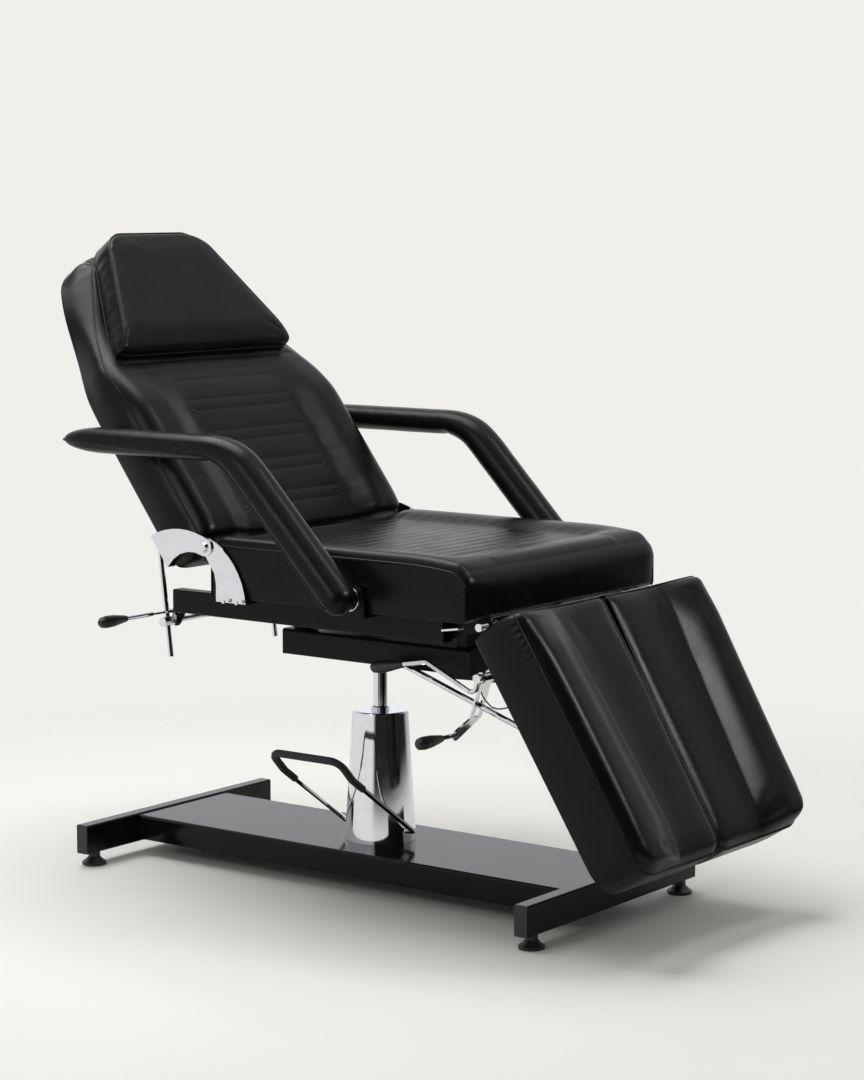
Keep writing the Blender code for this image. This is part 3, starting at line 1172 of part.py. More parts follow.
def make_near_leg_lever(pitch):
    axis = frame("near_leg_lever_axis", LEG_LEVER.x, 0, LEG_LEVER.y, pitch)
    y = -MECHANISM_Y
    end = Vector((y - LEG_LEVER_OUT, -LEG_LEVER_ARM - LEG_LEVER_DROP))
    tail = arc(end, LEG_LEVER_TIP, -45, -225, 6)
    lever = part("near_leg_lever", clamp_plate(y, tail), CHROME, axis)
    half = LEG_LEVER_WIDTH / 2
    combine(lever, cylinder((0, y - half, 0), (0, y + half, 0), LEVER_BOSS_RADIUS, 16), "UNION")
    combine(lever, clamp_slot(y), "DIFFERENCE")
    bore = cylinder((0, y - 2 * half, 0), (0, y + 2 * half, 0), LOCK_SHAFT_RADIUS + RUNNING, 12)
    combine(lever, bore, "DIFFERENCE")
    stem_end = end.x - LEG_STEM_LENGTH
    combine(lever, cylinder((0, end.x, end.y), (0, stem_end, end.y), LEVER_STEM_RADIUS, 10), "UNION")
    make_knob("near_leg_lever_knob", axis, Vector((0, stem_end, end.y)), Vector((0, -1, 0)))


def make_far_leg_lever(pitch):
    """Release shaft across the frame: clamp plate on the far rod, bent rod and knob on the near side."""
    axis = frame("far_leg_lever_axis", LEG_LEVER.x, 0, LEG_LEVER.y, pitch)
    half = LEG_LEVER_WIDTH / 2
    shaft_end = FAR_LEVER_Y + 0.006
    lever = part("far_leg_lever", cylinder((0, -shaft_end, 0), (0, MECHANISM_Y + half, 0), LOCK_SHAFT_RADIUS, 12),
                 CHROME, axis)
    combine(lever, clamp_plate(MECHANISM_Y, []), "UNION")
    boss = cylinder((0, MECHANISM_Y - half, 0), (0, MECHANISM_Y + half, 0), LEVER_BOSS_RADIUS, 16)
    combine(lever, boss, "UNION")
    combine(lever, clamp_slot(MECHANISM_Y), "DIFFERENCE")
    unpitch = Matrix.Rotation(math.radians(-pitch), 4, "Y")
    y = -FAR_LEVER_Y
    bends = [unpitch @ Vector((x, y, z)) for x, z in FAR_LEVER_BENDS]
    combine(lever, cylinder((0, y - 0.006, 0), (0, y + 0.006, 0), LEVER_BOSS_RADIUS - 0.002, 12), "UNION")
    combine(lever, rod(rounded_path(bends, [FAR_LEVER_BEND] * 2, 3), FAR_LEVER_ROD), "UNION")
    way = (bends[-1] - bends[-2]).normalized()
    make_knob("far_leg_lever_knob", axis, bends[-1], way)


make_base()
make_pump()
make_pedal()
make_subframe()
make_seat()
for side_name, side_way in SIDES.items():
    make_hinge_plate(side_name, side_way)
    make_arm_bracket(side_name, side_way)
    make_armrest(side_name, side_way)
make_back()
make_pillow()
make_back_lock()
make_leg_hinge_rod()
for side_name, side_way in SIDES.items():
    make_leg(side_name, side_way)
make_leg_locks()
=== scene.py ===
# %% [markdown]
# # A podiatry chair in black leatherette
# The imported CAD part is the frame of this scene: every bar, rod and plate comes from it. This script
# dresses it. It gives each surface its material, and it models the upholstery again with rounded,
# seamed covers that are blown up like real stuffed pads.

# %% Load the frame
import json
import math

import bpy
import numpy as np
from mathutils import Matrix, Vector, noise


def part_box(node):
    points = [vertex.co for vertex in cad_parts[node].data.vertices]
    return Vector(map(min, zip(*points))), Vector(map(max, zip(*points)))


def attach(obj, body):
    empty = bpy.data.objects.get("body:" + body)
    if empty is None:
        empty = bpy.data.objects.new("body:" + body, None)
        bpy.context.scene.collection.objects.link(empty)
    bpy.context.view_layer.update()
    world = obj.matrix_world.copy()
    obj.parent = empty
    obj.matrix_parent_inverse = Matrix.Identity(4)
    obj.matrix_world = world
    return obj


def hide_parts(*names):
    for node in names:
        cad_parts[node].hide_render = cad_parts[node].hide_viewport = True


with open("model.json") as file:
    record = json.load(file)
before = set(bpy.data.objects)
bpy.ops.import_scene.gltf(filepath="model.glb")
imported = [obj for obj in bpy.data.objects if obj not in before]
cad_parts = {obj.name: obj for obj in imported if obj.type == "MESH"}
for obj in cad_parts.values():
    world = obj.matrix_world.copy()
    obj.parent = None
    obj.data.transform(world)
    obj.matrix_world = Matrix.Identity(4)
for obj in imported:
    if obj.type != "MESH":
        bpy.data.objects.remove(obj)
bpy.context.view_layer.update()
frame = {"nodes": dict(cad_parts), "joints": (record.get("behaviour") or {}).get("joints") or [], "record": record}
scene = bpy.context.scene
joint_place = {joint["name"]: Vector(joint["pos_m"]) for joint in frame["joints"] if "pos_m" in joint}
print("loaded", len(frame["nodes"]), "CAD nodes")

# %% [markdown]
# ## Colours and shader nodes
# Colours are written as the sRGB hex values a colour picker shows, and one function turns them into the
# linear values that Cycles works with. Another adds a shader node: a socket that is handed another socket
# gets a link, and a socket that is handed a number gets that number.


# %% Colours and nodes
def linear(hex_colour):
    """Linear colour with alpha from an sRGB hex value."""
    parts = [int(hex_colour[i:i + 2], 16) / 255 for i in (1, 3, 5)]
    return (*[p / 12.92 if p <= 0.04045 else ((p + 0.055) / 1.055) ** 2.4 for p in parts], 1.0)


def connect(tree, node, sockets):
    """Link each named socket of a node to another socket, or set its number."""
    for name, value in sockets.items():
        if isinstance(value, bpy.types.NodeSocket):
            tree.links.new(value, node.inputs[name])
        else:
            node.inputs[name].default_value = value
    return node


def add(tree, kind, settings, sockets):
    """A new node with its settings, and with its sockets linked or set."""
    made = tree.nodes.new(kind)
    for name, value in settings.items():
        setattr(made, name, value)
    return connect(tree, made, sockets)


# %% [markdown]
# ## How a finish is built
# No real surface is even. Each finish starts with one soft noise, in patches of a size that suits the
# material, and its tone and roughness drift together with the middle of the noise's range. A second, finer
# noise bends the normals like the surface's relief.

# %% Start of a finish, and its relief
DRIFT = (0.3, 0.7)


def blank_finish(name):
    """A Principled material, its node tree, its shader and its object coordinates, which are in metres."""
    material = bpy.data.materials.new(name)
    material.use_nodes = True
    tree = material.node_tree
    places = add(tree, "ShaderNodeTexCoord", {}, {}).outputs["Object"]
    return material, tree, tree.nodes["Principled BSDF"], places


def drifting_finish(name, patch, tones, roughness, detail=3.0, stretch=None):
    """A finish that drifts between two tones and two roughnesses, in patches of a size in metres."""
    material, tree, shader, places = blank_finish(name)
    spots = places
    if stretch:
        spots = add(tree, "ShaderNodeMapping", {}, {"Vector": places, "Scale": stretch}).outputs["Vector"]
    sockets = {"Vector": spots, "Scale": 1 / patch, "Detail": detail}
    drift = add(tree, "ShaderNodeTexNoise", {}, sockets).outputs["Fac"]
    tone = add(tree, "ShaderNodeValToRGB", {}, {"Fac": drift})
    for stop, place, colour in zip(tone.color_ramp.elements, DRIFT, tones):
        stop.position = place
        stop.color = linear(colour)
    sockets = {"Value": drift, "From Min": DRIFT[0], "From Max": DRIFT[1]}
    sockets |= {"To Min": roughness[0], "To Max": roughness[1]}
    gloss = add(tree, "ShaderNodeMapRange", {}, sockets)
    connect(tree, shader, {"Base Color": tone.outputs["Color"], "Roughness": gloss.outputs["Result"]})
    return material, tree, shader, places, drift


def noise_relief(tree, places, size, detail, strength, depth):
    """Normals of a skin that rises and falls by a depth in patches of a size, both in metres."""
    height = add(tree, "ShaderNodeTexNoise", {}, {"Vector": places, "Scale": 1 / size, "Detail": detail})
    sockets = {"Height": height.outputs["Fac"], "Strength": strength, "Distance": depth}
    return add(tree, "ShaderNodeBump", {}, sockets).outputs["Normal"]


# %% [markdown]
# ## Leatherette
# The covers are a PVC cloth embossed with a calf grain, which breaks highlights into a fine sparkle. Real
# grain cells are about one millimetre; they are 1.8 mm here, because the picture's pixels are larger than
# that. A slow relief under the grain stands for the foam, so that highlights bend softly.

# %% Embossed PVC leatherette
GRAIN_CELL = 1 / 560
FOAM_LUMP = 0.030
leatherette, tree, shader, places, wear = drifting_finish(
    "embossed_pvc_leatherette", 0.085, ("#0c0c0d", "#111112"), (0.26, 0.33))
foam = noise_relief(tree, places, FOAM_LUMP, 2.0, 0.16, 0.0016)
sockets = {"Vector": places, "Scale": 1 / GRAIN_CELL}
grain = add(tree, "ShaderNodeTexVoronoi", {"feature": "DISTANCE_TO_EDGE"}, sockets)
grain_height = add(tree, "ShaderNodeMapRange", {}, {"Value": grain.outputs["Distance"], "From Max": 0.35})
sockets = {"Height": grain_height.outputs["Result"], "Strength": 0.30, "Distance": 0.00016, "Normal": foam}
emboss = add(tree, "ShaderNodeBump", {}, sockets)
connect(tree, shader, {"Normal": emboss.outputs["Normal"], "IOR": 1.52, "Specular IOR Level": 0.13})
print("made", leatherette.name)

# %% [markdown]
# ## Chrome and painted steel
# Chrome plating is a thin bright layer on polished steel, so its look is almost all reflection: the noise
# only moves the roughness a little, like the haze that wiping leaves. The frame is powder coated. The
# powder melts into a skin with a faint orange peel of about 2 mm, which the relief draws.

# %% Chrome-plated steel
POLISHING = (900.0, 900.0, 60.0)
chrome, tree, shader, places, haze = drifting_finish(
    "polished_chrome_plated_steel", 0.024, ("#d8dadc", "#e0e2e3"), (0.045, 0.085))
polished = add(tree, "ShaderNodeMapping", {}, {"Vector": places, "Scale": POLISHING}).outputs["Vector"]
connect(tree, shader, {"Normal": noise_relief(tree, polished, 1.0, 1.0, 0.03, 0.00005), "Metallic": 1.0})


# %% Powder-coated steel, in the frame's gloss and in the platform's higher gloss
def powder_coat(name, roughness, shine):
    """Black powder coat between two roughnesses."""
    made, tree, shader, places, cloud = drifting_finish(name, 0.11, ("#0c0c0d", "#101011"), roughness)
    orange_peel = noise_relief(tree, places, 0.0024, 1.0, 0.10, 0.0001)
    connect(tree, shader, {"Normal": orange_peel, "IOR": 1.50, "Specular IOR Level": shine})
    return made


frame_paint = powder_coat("satin_black_powder_coat", (0.30, 0.40), 0.13)
platform_paint = powder_coat("gloss_black_powder_coat", (0.08, 0.14), 0.18)
print("made", chrome.name, frame_paint.name, platform_paint.name)

# %% [markdown]
# ## Wood, plastic and rubber
# The boards inside the pads are plywood under a black stain, so the grain only shows as a change of gloss and
# a faint brown. Knobs and plugs are moulded plastic with a spark-eroded texture, which dulls their
# highlights, and the pedal's sleeve is dipped rubber, which is duller still.

# %% Stained plywood
FIBRES = (6.0, 90.0, 90.0)
plywood, tree, shader, places, fibre = drifting_finish(
    "black_stained_plywood", 1.0, ("#1a1715", "#2b2622"), (0.52, 0.68), 6.0, FIBRES)
ridges = add(tree, "ShaderNodeBump", {}, {"Height": fibre, "Strength": 0.2, "Distance": 0.0002})
connect(tree, shader, {"Normal": ridges.outputs["Normal"]})


# %% Moulded plastic and rubber
def moulded(name, tones, roughness, texture):
    """A moulded black polymer with a fine surface texture of a given size in metres."""
    made, tree, shader, places, cloud = drifting_finish(name, 0.02, tones, roughness)
    connect(tree, shader, {"Normal": noise_relief(tree, places, texture, 2.0, 0.18, 0.0001)})
    return made


plastic = moulded("spark_textured_black_plastic", ("#151516", "#1d1d1e"), (0.38, 0.48), 0.0014)
rubber = moulded("dipped_black_rubber", ("#171717", "#1f1f1f"), (0.60, 0.74), 0.0022)
print("made", plywood.name, plastic.name, rubber.name)

# %% Finish of each CAD node
finish_of_slot = {
    "black_leatherette": leatherette, "chrome_plated_steel": chrome, "black_powder_coat": frame_paint,
    "black_stained_plywood": plywood, "black_rubber": rubber, "black_plastic": plastic}
for row in frame["record"]["subparts"]:
    node = frame["nodes"][row["node"]]
    node.data.materials.clear()
    node.data.materials.append(finish_of_slot[row["material_slot"]])
for name in ("base_platform", "rear_cross_bar", "front_cross_bar"):
    frame["nodes"][name].data.materials[0] = platform_paint

# %% [markdown]
# ## How a pad is built
# A stuffed pad is a box with soft sides, so each one starts as the skin of a box, cut into small cells. A
# shape function moves that skin into place: it rounds the corners, lets the boxing swell and presses in the
# sewn channels. The box's own edges become the seams, so their points are known by row and column and can
# be pinned, creased and piped later. In the shape functions a runs along the pad, t across it from -1 to 1,
# and w up from 0 at the rear to 1 at the face. The level seat takes x and y in place of a and t.


# %% Skin of a box
def box_skin(counts):
    """Grid places and faces of a box's skin, with counts cells along, across and up."""
    index, quads = {}, []
    for axis in range(3):
        a, b = (axis + 1) % 3, (axis + 2) % 3
        for end in (0, counts[axis]):
            for i in range(counts[a]):
                for j in range(counts[b]):
                    square = [(i, j), (i + 1, j), (i + 1, j + 1), (i, j + 1)]
                    quad = []
                    for s, t in (square if end else square[::-1]):
                        place = [0, 0, 0]
                        place[axis], place[a], place[b] = end, s, t
                        quad.append(index.setdefault(tuple(place), len(index)))
                    quads.append(quad)
    return index, quads


def spread(marks, step):
    """Places from the first mark to the last that hold every mark, about a step apart."""
    places = [marks[0]]
    for start, stop in zip(marks, marks[1:]):
        count = max(1, round((stop - start) / step))
        places += [start + (stop - start) * (i + 1) / count for i in range(count)]
    return np.array(places)


# %% A pad from its rows, columns and shape
def smooth_piece(name, mesh, material):
    """A smooth-shaded piece of one material, from a mesh."""
    mesh.name = name
    mesh.shade_smooth()
    mesh.materials.clear()
    mesh.materials.append(material)
    piece = bpy.data.objects.new(name, mesh)
    scene.collection.objects.link(piece)
    return piece


def make_pad(name, along, across, up, shape, place, body, node):
    """A pad whose skin has the given rows and columns, moved by shape and then put in place."""
    top = (len(along) - 1, len(across) - 1, len(up) - 1)
    index, quads = box_skin(top)
    grid = np.array(list(index))
    skin = (along[grid[:, 0]], across[grid[:, 1]], up[grid[:, 2]])
    points = np.stack(shape(*skin), axis=1)
    mesh = bpy.data.meshes.new(name)
    mesh.from_pydata([place @ Vector(p) for p in points.tolist()], [], quads)
    piece = smooth_piece(name, mesh, leatherette)
    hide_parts(node)
    print("shaped", name, len(mesh.vertices), "points")
    return {"piece": piece, "index": index, "top": top, "body": body, "skin": skin}


def local_box(node, place):
    """Lowest and highest corner of a CAD node in a pad's own frame."""
    back = place.inverted()
    corners = np.array([back @ v.co for v in frame["nodes"][node].data.vertices])
    return corners.min(0), corners.max(0)


# %% [markdown]
# ## Helpers for soft forms
# A few small functions do most of the shaping. One turns the square corner of a grid into a round one
# without breaking its rows. Others give the profile of a rolled edge, of a raised rim and of a sewn line.
# Two draw wrinkles: puckers are uneven, and gathers are small even folds that start at a seam, where the
# cover was eased on to its thread, and die away within a few centimetres.


# %% Rounding, easing and wrinkles
def round_corners(a, b, low, high, radii):
    """Bend a rectangle's corners to the radii at low-low, high-low, high-high and low-high."""
    round_a, round_b = a.copy(), b.copy()
    for (way_a, way_b), radius in zip(((-1, -1), (1, -1), (1, 1), (-1, 1)), radii):
        middle_a = high[0] - radius if way_a > 0 else low[0] + radius
        middle_b = high[1] - radius if way_b > 0 else low[1] + radius
        over_a = np.clip(way_a * (a - middle_a) / radius, 0, 1)
        over_b = np.clip(way_b * (b - middle_b) / radius, 0, 1)
        inside = (over_a > 0) & (over_b > 0)
        round_a[inside] = (middle_a + way_a * radius * over_a * np.sqrt(1 - over_b ** 2 / 2))[inside]
        round_b[inside] = (middle_b + way_b * radius * over_b * np.sqrt(1 - over_a ** 2 / 2))[inside]
    return round_a, round_b


def ease(share):
    """A smooth step from 0 to 1."""
    share = np.clip(share, 0, 1)
    return share * share * (3 - 2 * share)


def between(ends, share):
    """A value that runs from the first end to the second with a share."""
    return ends[0] + (ends[1] - ends[0]) * share


def puckers(a, b, c, fine, seed):
    """Wrinkles between -1 and 1 at each point, with fine waves to the metre."""
    spots = zip(a, b, c)
    return np.array([noise.noise(Vector((x * fine + seed, y * fine, z * fine))) for x, y, z in spots])


def groove(distance, width):
    """A sewn line: 1 on the thread and 0 a width away from it."""
    return np.exp(-(distance / width) ** 2)


def fullness(distance, radius):
    """How full a rolled edge is at a distance from the end, from 0 to 1."""
    return np.sqrt(np.clip(1 - (1 - np.clip(distance / radius, 0, 1)) ** 2, 0, 1))


def plateau(distance, flat, slope):
    """A raised edge: 1 as far as the flat, then down to 0 over the slope."""
    return 1 - ease((distance - flat) / slope)


def gathers(along, away, spacing, reach):
    """Small folds across a seam: waves along it that die away from it, and none on the thread."""
    return np.sin(2 * np.pi * along / spacing) * np.exp(-away / reach) * ease(away / 0.004)


# %% Rows beside sewn lines, and columns on both sides
CHANNEL_WIDTH = 0.0028


def beside(lines):
    """Each sewn line with a place on either side of it."""
    return [line + side * CHANNEL_WIDTH for line in lines for side in (-1, 0, 1)]


def to_nearest(a, lines):
    """Distance of each place from the nearest sewn line."""
    return np.min(np.abs(a[:, None] - lines[None, :]), axis=1)


def mirrored(columns):
    """Columns from the near edge to the middle, and the same again on the far side."""
    return columns + [-column for column in reversed(columns)]


# %% [markdown]
# ## Seat
# The seat's cover rolls over the front edge in one piece, and a boxing panel closes each side, so the side
# seams follow the seat's profile: along the top, round the front corner and down. The sitting panel lies
# lower than its rims and has fourteen channels sewn across it.

# %% Seat cushion
PAD_STEP = 0.0085
FINE_STEP = 0.0036
FACE = 0.999
TINY = 1e-6
seat_place = Matrix.Translation((0, 0, 0))
seat_low, seat_high = local_box("seat_cushion", seat_place)
SEAT_THICKNESS = 0.100
SEAT_ROLL = 0.032
SEAT_PANEL_ENDS = (0.046, 0.093)
SEAT_LINES = 14
SEAT_PANEL_HALF = 0.205
SEAT_RIM = 0.018
SEAT_FALL = 0.012
SEAT_CORNERS = (0.006, 0.012, SEAT_ROLL, 0.026)
SEAT_GATHER = 0.0125
seat_half = seat_high[1] - 0.003
panel_start, panel_end = seat_low[0] + SEAT_PANEL_ENDS[0], seat_high[0] - SEAT_PANEL_ENDS[1]
seat_lines = np.linspace(panel_start, panel_end, SEAT_LINES + 1)


def seat_shape(x, y, w):
    """Seat: rolled front, low sitting panel with channels, raised rims and gathered sides."""
    z = w * SEAT_THICKNESS
    low, high = (seat_low[0], 0), (seat_high[0], SEAT_THICKNESS)
    rolled_x, rolled_z = round_corners(x, z, low, high, SEAT_CORNERS)
    inward, back_off = seat_half - np.abs(y), seat_high[0] - x
    rolled_z *= 1 + SEAT_RIM * fullness(inward, 0.020) / SEAT_THICKNESS
    sunk = (1 - plateau(inward, 0.035, 0.078)) * (1 - plateau(back_off, 0.040, 0.075))
    in_panel = ease((SEAT_PANEL_HALF + 0.004 - np.abs(y)) / 0.014)
    sewn = 0.0014 * groove(to_nearest(x, seat_lines), CHANNEL_WIDTH) * in_panel
    on_top = (w > FACE) * fullness(x - seat_low[0], 0.03)
    fall = SEAT_FALL * np.clip((x - panel_end + 0.06) / (seat_high[0] - panel_end + 0.06), 0, 1) ** 2
    rolled_z -= on_top * (0.8 * SEAT_RIM * sunk + sewn) + w * fall
    on_front = (back_off < TINY) * np.sin(np.pi * w ** 1.6) * fullness(inward, 0.045)
    to_seam = np.minimum(SEAT_THICKNESS - z, back_off)
    from_corner = np.hypot(back_off - 0.02, SEAT_THICKNESS - z - 0.03)
    folds = 0.0022 * gathers(x - z, to_seam, SEAT_GATHER, 0.012)
    folds *= 0.10 + 0.90 * groove(from_corner, 0.055)
    full = 0.0042 * np.sin(np.pi * w) ** 0.6 * fullness(x - seat_low[0], 0.05) * fullness(back_off, 0.05)
    side = (inward < TINY) * (full + folds)
    drawn_in = 0.004 * (1 - fullness(inward, 0.045)) * ease((x - seat_high[0] + 0.07) / 0.07)
    return rolled_x + 0.0065 * on_front - drawn_in, y + np.sign(y) * side, seat_low[2] + rolled_z


front_marks = [panel_end + 0.012, seat_high[0] - SEAT_ROLL, seat_high[0]]
seat_marks = [seat_low[0], seat_low[0] + 0.026, *beside(seat_lines), front_marks[0]]
seat_rows = np.concatenate((spread(seat_marks, PAD_STEP), spread(front_marks, FINE_STEP)[1:]))
seat_edges = [-seat_half, -seat_half + 0.026, -SEAT_PANEL_HALF - 0.008, -SEAT_PANEL_HALF + 0.008]
seat_columns = spread(mirrored(seat_edges), PAD_STEP * 0.8)
seat = make_pad("seat_cover", seat_rows, seat_columns, np.linspace(0, 1, 29), seat_shape,
                seat_place, "seat_frame", "seat_cushion")

# %% [markdown]
# ## Back
# The back is a deep pad with a soft bolster down each side and a flat panel between them. The panel is sewn
# across in pairs of lines. The seam between front and boxing runs all round the front face, which sinks
# behind the pillow. The pad is shaped lying flat and then turned to the back's angle about its hinge.

# %% Back cushion
BACK_ANGLE = 53.2
BACK_PANEL_HALF = 0.158
BACK_BOLSTER = 0.019
BACK_SHOULDER = 0.421
BACK_SHOULDER_ROUND = 0.036
BACK_SINK = (0.008, 0.046)
BACK_SINK_SPAN = (0.305, 0.572)
BACK_PAIRS = [0.072 + 0.077 * i for i in range(5)]
BACK_PAIR_GAP = 0.026
BACK_TOP_LINE = 0.436
BACK_CORNERS = (0.014, 0.058, 0.058, 0.014)
BACK_FLARE = 0.048
CROWN_HALF = 0.138
hinge = joint_place["back_recline"]
back_turn = Matrix.Rotation(math.radians(BACK_ANGLE), 4, "Y") @ Matrix.Rotation(math.pi, 4, "Z")
back_place = Matrix.Translation((hinge.x, 0, hinge.z)) @ back_turn
back_low, back_high = local_box("back_cushion", back_place)
back_half = back_high[1] - 0.0045
back_lines = np.array(sorted(BACK_PAIRS + [a + BACK_PAIR_GAP for a in BACK_PAIRS] + [BACK_TOP_LINE]))


def back_width(a):
    """Half width of the back: straight, then narrowing in a soft bend towards the head."""
    past = a - BACK_SHOULDER
    bent = (past + np.sqrt(past ** 2 + BACK_SHOULDER_ROUND ** 2)) / 2
    return back_half - (back_half - CROWN_HALF) * bent / (back_high[0] - BACK_SHOULDER)


def back_shape(a, t, w):
    """Back: bolsters, sewn panel, sunk head end and full boxing."""
    low, high = (back_low[0], -CROWN_HALF), (back_high[0], CROWN_HALF)
    plan_a, plan_y = round_corners(a, t * CROWN_HALF, low, high, BACK_CORNERS)
    flare = BACK_FLARE * ease((plan_a - BACK_SHOULDER) / 0.25) * (1 - w)
    y = plan_y / CROWN_HALF * (back_width(plan_a) + flare)
    ends = np.minimum(fullness(a - back_low[0], 0.026), fullness(back_high[0] - a, 0.050))
    sunk = ease((a - BACK_SINK_SPAN[0]) / (BACK_SINK_SPAN[1] - BACK_SINK_SPAN[0]))
    recess = between(BACK_SINK, sunk)
    seam = -recess - (-back_low[2] - recess) * 0.28 * (1 - ends)
    half = back_width(a)
    inward = half * (1 - np.abs(t))
    panel_edge = half - BACK_PANEL_HALF
    bolster = fullness(inward, 0.034) * plateau(inward, 0.070, panel_edge - 0.070)
    fade = ease((0.475 - a) / 0.17)
    foot = ease((a - back_low[0]) / 0.06)
    in_panel = ease((inward - panel_edge + 0.006) / 0.016)
    sewn = 0.0013 * groove(to_nearest(a, back_lines), CHANNEL_WIDTH) * in_panel
    raised = 0.008 * fullness(inward, 0.034) + BACK_BOLSTER * bolster * fade * (0.7 + 0.3 * foot)
    pinch = 0.0025 * groove(a - back_low[0], 0.07) * puckers(0 * a, y, 0 * a, 42, 8.0) * (1 - in_panel)
    face = raised + 0.003 * (1 - t ** 2) - sewn + pinch
    z = back_low[2] + w * (seam - back_low[2]) + (w > FACE) * ends * face
    boxing = np.sin(np.pi * w ** 1.8) ** 0.7
    swell = boxing * (0.0085 + 0.0010 * puckers(plan_a, y, 0 * a, 30, 1.5))
    on_end = np.sign(a - 0.36) * (np.abs(a - 0.36) > 0.34)
    on_side = np.sign(t) * (np.abs(t) > 0.99)
    return plan_a + swell * on_end, y + swell * on_side, z


crown_marks = [back_high[0] - BACK_CORNERS[1], back_high[0]]
back_rows = spread([back_low[0], back_low[0] + 0.026, *beside(back_lines), *crown_marks], PAD_STEP)
panel_share = BACK_PANEL_HALF / back_half
back_edges = [-1.0, -0.90, -panel_share - 0.02, -panel_share + 0.02]
back_columns = spread(mirrored(back_edges), PAD_STEP / back_half)
back = make_pad("back_cover", back_rows, back_columns, np.linspace(0, 1, 15), back_shape,
                back_place, "back", "back_cushion")

# %% [markdown]
# ## Pillow
# The head pillow is a thin, full cushion with piping round both faces. Its boxing is gathered, so it wrinkles
# more than the larger pads do.

# %% Head pillow
pillow_low, pillow_high = local_box("head_pillow", back_place)
pillow_low -= (0.006, 0, 0.012)
pillow_high -= (0.004, 0, 0.014)
PILLOW_HALF = (0.262, 0.137)
PILLOW_FACE = 0.92
PILLOW_CORNERS = (0.014, 0.046, 0.046, 0.014)
PILLOW_EDGE = 0.014


def at_ends(a, low, high):
    """1 at the high end of a pad, -1 at its low end and 0 between."""
    return np.where(a > high - TINY, 1.0, np.where(a < low + TINY, -1.0, 0.0))


def pillow_shape(a, t, w):
    """Pillow: a tapered plan with round corners, a crowned face and gathered boxing."""
    low, high = (pillow_low[0], -PILLOW_HALF[1]), (pillow_high[0], PILLOW_HALF[1])
    plan_a, plan_y = round_corners(a, t * PILLOW_HALF[1], low, high, PILLOW_CORNERS)
    share = (plan_a - low[0]) / (high[0] - low[0])
    y = plan_y / PILLOW_HALF[1] * between(PILLOW_HALF, share)
    ends = np.minimum(fullness(a - low[0], PILLOW_EDGE), fullness(high[0] - a, PILLOW_EDGE))
    tall = pillow_high[2] - pillow_low[2]
    crown = tall * (1 - PILLOW_FACE) * ends * fullness(1 - np.abs(t), 0.06)
    lower, upper = fullness(a - low[0], 0.060), fullness(high[0] - a, 0.04)
    seam = tall * PILLOW_FACE * (0.52 + 0.48 * lower) * (0.88 + 0.12 * upper)
    z = pillow_low[2] + w * seam + (w > FACE) * crown
    boxing = np.sin(np.pi * w) ** 0.8
    gather = boxing * (0.0052 + 0.0034 * puckers(plan_a, 0 * a, w * 0.012, 70, 4.0))
    on_side = np.where(np.abs(t) > 1 - TINY, np.sign(t), 0.0)
    return plan_a + gather * at_ends(a, low[0], high[0]) * 0.6, y + gather * on_side, z


pillow_marks = [pillow_low[0], pillow_low[0] + PILLOW_EDGE, pillow_high[0] - PILLOW_EDGE, pillow_high[0]]
pillow_columns = spread([-1.0, -0.94, 0.94, 1.0], 0.024)
pillow = make_pad("pillow_cover", spread(pillow_marks, 0.0048), pillow_columns, np.linspace(0, 1, 11),
                  pillow_shape, back_place, "pillow", "head_pillow")

# %% [markdown]
# ## Leg pads
# The two leg pads mirror each other. Each has a flat inner part and a raised bolster along its outer edge,
# and narrows towards the foot. One function shapes both, with the side's sign as a factor.

# %% Leg cushions
LEG_ANGLE = 59.2
LEG_OUTER = (0.314, 0.292)
LEG_INNER = (0.0014, 0.0095)
LEG_SEAMS = (0.097, 0.110)
LEG_REAR = 0.006
LEG_BOLSTER = 0.017
LEG_FOOT = (0.18, -0.02)
LEG_SLOPE = 0.46
LEG_HALF = 0.145
LEG_CORNERS = (0.010, 0.030, 0.056, 0.016)
leg_hinge = joint_place["near_leg_raise"]
leg_turn = Matrix.Rotation(math.radians(LEG_ANGLE), 4, "Y")
leg_place = Matrix.Translation((leg_hinge.x, 0, leg_hinge.z)) @ leg_turn
leg_low, leg_high = local_box("near_leg_cushion", leg_place)
leg_low[0] -= 0.007
leg_high[0] -= 0.009


